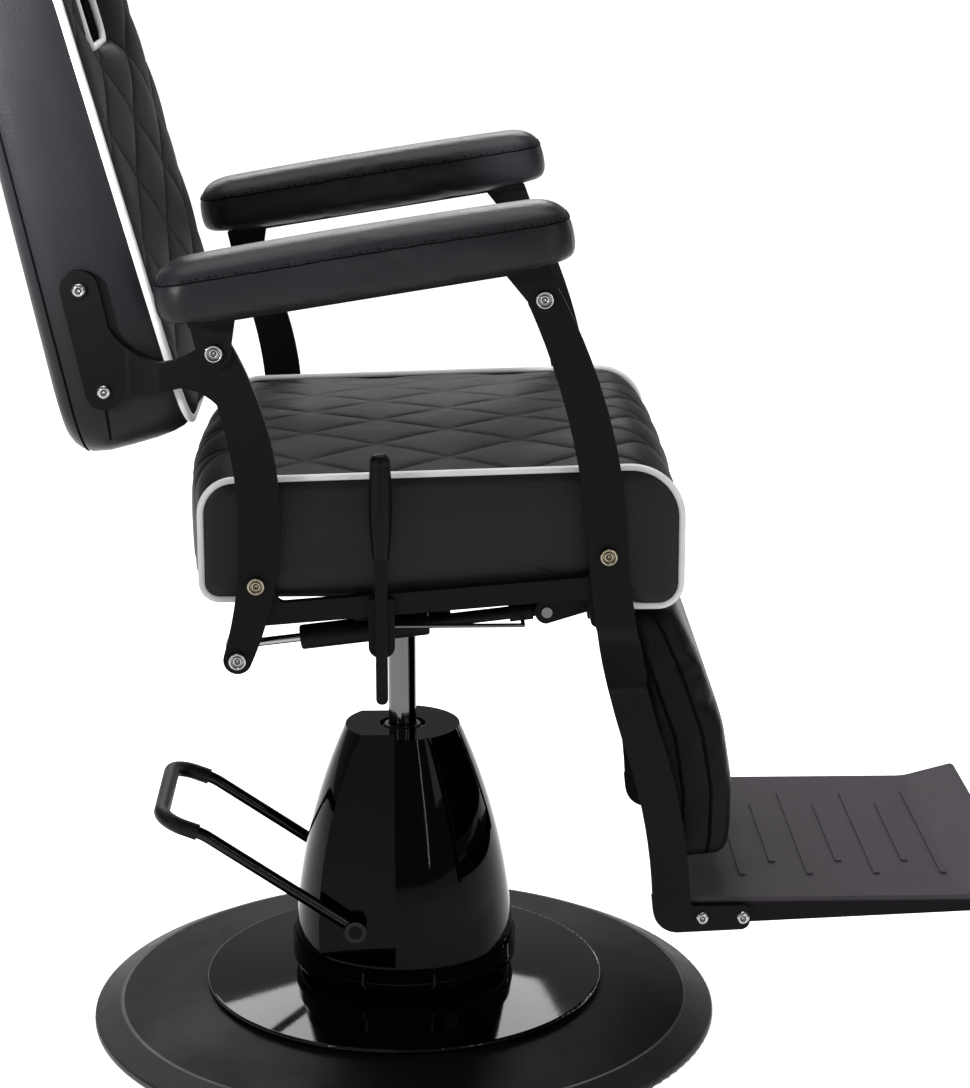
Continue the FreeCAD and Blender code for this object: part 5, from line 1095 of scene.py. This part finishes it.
class CHAIR_OT_bolts(bpy.types.Operator):
    """Bolt heads with hexagon sockets, and their shanks"""

    bl_idname = "chair.bolts"
    bl_label = "Bolts"
    head_height = 0.006
    socket_depth, socket_wall = 0.0010, 0.0012
    shank_radius, shank_length = 0.0049, 0.018
    # Body, places in side view, kind of head and metal, for each frame part that the heads stand for
    spots = {
        "back_plate_bolts": ("back", ((-0.280, 0.787), (-0.261, 0.696)), "button", "bright_steel"),
        "upper_rear_bolts": ("back", ((-0.161, 0.736),), "socket", "bright_steel"),
        "crossbar_bolts": ("back", ((-0.147, 0.453),), "socket", "bright_steel"),
        "lower_pivot_bolts": ("seat", ((-0.129, 0.523), (0.187, 0.548)), "socket", "plated_steel"),
        "upper_front_bolts": ("legs", ((0.128, 0.782),), "socket", "bright_steel"),
        "footrest_bolts": ("legs", ((0.287, 0.166), (0.326, 0.166)), "button", "bright_steel"),
    }
    # Radius and height along each head's outline, from its socket to its foot
    outlines = {
        "button": ((0.0026, 0.0036), (0.0030, 0.0052), (0.0040, 0.0050), (0.0052, 0.0042), (0.0062, 0.0029),
                   (0.0068, 0.0012), (0.0069, 0.0)),
        "socket": ((0.0024, 0.0026), (0.0028, 0.0042), (0.0040, 0.0042), (0.0044, 0.0022), (0.0055, 0.0022),
                   (0.0060, 0.0054), (0.0071, 0.0058), (0.0078, 0.0048), (0.0080, 0.0)),
    }

    def execute(self, context):
        for node, (body, places, kind, metal) in self.spots.items():
            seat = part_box(node)[1].y - self.head_height
            bm = bmesh.new()
            for side in SIDES.values():
                turn = Matrix.Rotation(-side * math.pi / 2, 4, "X")
                for x, z in places:
                    self.bolt(bm, self.outlines[kind], Matrix.Translation((x, side * seat, z)) @ turn)
            name = node.replace("bolts", "bolt_heads")
            finished(name, to_mesh(node, bm), body, metal, (node,))
        return {"FINISHED"}

    def bolt(self, bm, outline, place):
        """One bolt: a turned head with a hexagon socket, and a shank through the plates."""
        others = set(bm.verts)
        verts = [bm.verts.new((radius, 0, height)) for radius, height in outline]
        edges = [bm.edges.new(pair) for pair in zip(verts, verts[1:])]
        bmesh.ops.spin(bm, geom=verts + edges, cent=(0, 0, 0), axis=(0, 0, 1), angle=2 * math.pi, steps=36,
                       use_merge=True)
        radius, height = outline[0]
        socket = bmesh.ops.create_circle(bm, segments=6, radius=radius, cap_ends=True)["verts"]
        bmesh.ops.translate(bm, vec=(0, 0, height - self.socket_depth), verts=socket)
        hexagon = [edge for edge in bm.edges if all(vert in socket for vert in edge.verts)]
        raised = new_verts(bmesh.ops.extrude_edge_only(bm, edges=hexagon))
        bmesh.ops.translate(bm, vec=(0, 0, self.socket_wall), verts=raised)
        shank = bmesh.ops.create_cone(bm, cap_ends=True, segments=24, radius1=self.shank_radius,
                                      radius2=self.shank_radius, depth=self.shank_length)["verts"]
        bmesh.ops.translate(bm, vec=(0, 0, -self.shank_length / 2), verts=shank)
        bmesh.ops.transform(bm, matrix=place, verts=[vert for vert in bm.verts if vert not in others])


class CHAIR_OT_finishes(bpy.types.Operator):
    """Gives each frame part its finish"""

    bl_idname = "chair.finishes"
    bl_label = "Finishes"
    nodes = {
        "matte_black": ("base_plate", "side_rail_right", "side_rail_left", "cross_members", "bearers",
                        "mount_plate", "mount_riser", "lever_bracket", "spring_fork", "rear_plate_right",
                        "rear_plate_left", "recline_crossbar", "armrest_bracket_right",
                        "armrest_bracket_left", "leg_plate_right", "leg_plate_left", "leg_cross_tube",
                        "lever_bar", "lever_crank", "spring_cylinder",
                        "swivel_socket"),
        "gloss_black": ("base_flange", "pedal_bar"),
        "cover_black": ("pump_cover", "cover_collar", "pedal_shaft"),
        "piston_steel": ("piston", "release_rod", "spring_pin"),
        "chrome": ("spring_rod", "headrest_posts"),
        "bright_steel": ("mount_bolts", "base_bolts", "pivot_washers"),
        "machined_steel": ("pump_cylinder", "pump_block", "headrest_guides"),
        "bronze": ("gland_bush",),
        "black_rubber": ("pedal_sleeve", "wiper_ring"),
        "edge_rubber": ("base_ring", "base_underlay"),
        "ply": ("seat_board", "back_board", "calf_board"),
        "tray_grey": ("footrest_tray",),
        "grip_plastic": ("lever_grip",),
    }

    def execute(self, context):
        for name, members in self.nodes.items():
            for node in members:
                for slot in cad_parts[node].material_slots:
                    slot.material = finish(name)
        return {"FINISHED"}


class CHAIR_OT_stage(bpy.types.Operator):
    """Pale floor, lamps, studio light and the camera"""

    bl_idname = "chair.stage"
    bl_label = "Stage"
    sensor_height, far_clip = 36, 200
    floor_size, floor_glow, world_glow = 40, 0.88, 0.29
    # Name, place, aim, width and height, share of the power and spread in degrees
    lamps = (
        ("top", (-0.3, 0.3, 3.1), (0.0, 0.0, 0.6), (2.6, 1.8), 0.9, 180),
        ("rear", (-0.5, 2.7, 2.0), (0.0, 0.0, 0.6), (2.2, 0.9), 0.55, 180),
        ("front_left", (-2.2, -2.6, 1.7), (-0.42, -0.2, 1.37), (0.4, 0.4), 0.30, 23),
        ("front_right", (2.6, -2.0, 1.8), (0.0, 0.0, 0.5), (0.8, 1.6), 0.18, 180),
        ("strip_near", (1.2, -2.1, 0.95), (0.0, 0.0, 0.3), (0.025, 1.3), 0.07, 180),
        ("strip_far", (1.9, 1.7, 0.95), (0.0, 0.0, 0.3), (0.06, 1.3), 0.06, 180),
        ("strip_side", (-1.5, -1.7, 0.95), (0.0, 0.0, 0.3), (0.025, 1.3), 0.07, 180),
    )

    def execute(self, context):
        stage = context.scene.chair_stage
        self.floor(stage.floor_colour)
        self.lights(stage.key_power)
        self.world()
        lens = bpy.data.cameras.new("camera")
        lens.sensor_fit = "VERTICAL"
        lens.sensor_height = self.sensor_height
        lens.lens = stage.camera_lens
        lens.clip_end = self.far_clip
        camera = placed("camera", lens)
        camera.location = stage.camera_place
        camera.rotation_euler = (math.pi / 2 - stage.camera_pitch, 0, -stage.camera_turn)
        context.scene.camera = camera
        context.scene.view_settings.view_transform = "Standard"
        return {"FINISHED"}

    def floor(self, colour):
        """A large pale floor, near white to the camera and in reflections, that takes a soft shadow."""
        bm = bmesh.new()
        bmesh.ops.create_grid(bm, x_segments=8, y_segments=8, size=self.floor_size)
        mesh = bpy.data.meshes.new("floor")
        bm.to_mesh(mesh)
        bm.free()
        sockets = {"Roughness": 0.7, "Emission Color": (1, 1, 1, 1)}
        material, tree, shader, place = new_material("floor", sockets)
        paper = mixed(tree, noise_node(tree, place, 3.0), shaded(colour, 0.99), shaded(colour))
        tree.links.new(paper, shader.inputs["Base Color"])
        rays = tree.nodes.new("ShaderNodeLightPath").outputs
        seen = math_node(tree, "MAXIMUM", rays["Is Glossy Ray"], rays["Is Transmission Ray"])
        seen = math_node(tree, "MAXIMUM", rays["Is Camera Ray"], seen)
        tree.links.new(math_node(tree, "MULTIPLY", seen, self.floor_glow), shader.inputs["Emission Strength"])
        mesh.materials.append(material)
        placed("floor", mesh)

    def lights(self, power):
        """A softbox above, a rim light behind, a beam on the backrest, a fill and three thin strips."""
        for name, place, aim, size, share, spread in self.lamps:
            lamp = bpy.data.lights.new(name, "AREA")
            lamp.shape = "RECTANGLE"
            lamp.size, lamp.size_y = size
            lamp.energy = power * share
            lamp.spread = math.radians(spread)
            holder = placed(name, lamp)
            holder.location = place
            holder.rotation_euler = (Vector(aim) - Vector(place)).to_track_quat("-Z", "Y").to_euler()

    def world(self):
        """Even, dim studio light."""
        world = bpy.data.worlds.new("studio")
        bpy.context.scene.world = world
        world.use_nodes = True
        back = world.node_tree.nodes["Background"]
        back.inputs["Strength"].default_value = self.world_glow
        back.inputs["Color"].default_value = (1, 1, 1, 1)


OPERATORS = (CHAIR_OT_finishes, CHAIR_OT_seat, CHAIR_OT_backrest, CHAIR_OT_headrest, CHAIR_OT_armrests,
             CHAIR_OT_calf_pad, CHAIR_OT_bolts, CHAIR_OT_stage)
SETTINGS = {"chair_upholstery": ChairUpholstery, "chair_colours": ChairColours, "chair_stage": ChairStage}


class CHAIR_PT_dressing(bpy.types.Panel):
    """Lists the chair's pieces and their settings"""

    bl_idname = "CHAIR_PT_dressing"
    bl_label = "Barber chair"
    bl_space_type = "VIEW_3D"
    bl_region_type = "UI"
    bl_category = "Chair"

    def draw(self, context):
        for group in (getattr(context.scene, label) for label in SETTINGS):
            column = self.layout.column()
            for label in group.bl_rna.properties.keys():
                if label not in ("rna_type", "name"):
                    column.prop(group, label)
        for operator in OPERATORS:
            self.layout.operator(operator.bl_idname)


CLASSES = (*SETTINGS.values(), *OPERATORS, CHAIR_PT_dressing)


def register():
    for item in CLASSES:
        bpy.utils.register_class(item)
    for label, group in SETTINGS.items():
        setattr(bpy.types.Scene, label, bpy.props.PointerProperty(type=group))


def unregister():
    for label in SETTINGS:
        delattr(bpy.types.Scene, label)
    for item in reversed(CLASSES):
        bpy.utils.unregister_class(item)


def main():
    register()
    for operator in OPERATORS:
        group, action = operator.bl_idname.split(".")
        getattr(getattr(bpy.ops, group), action)()


if __name__ == "__main__":
    main()
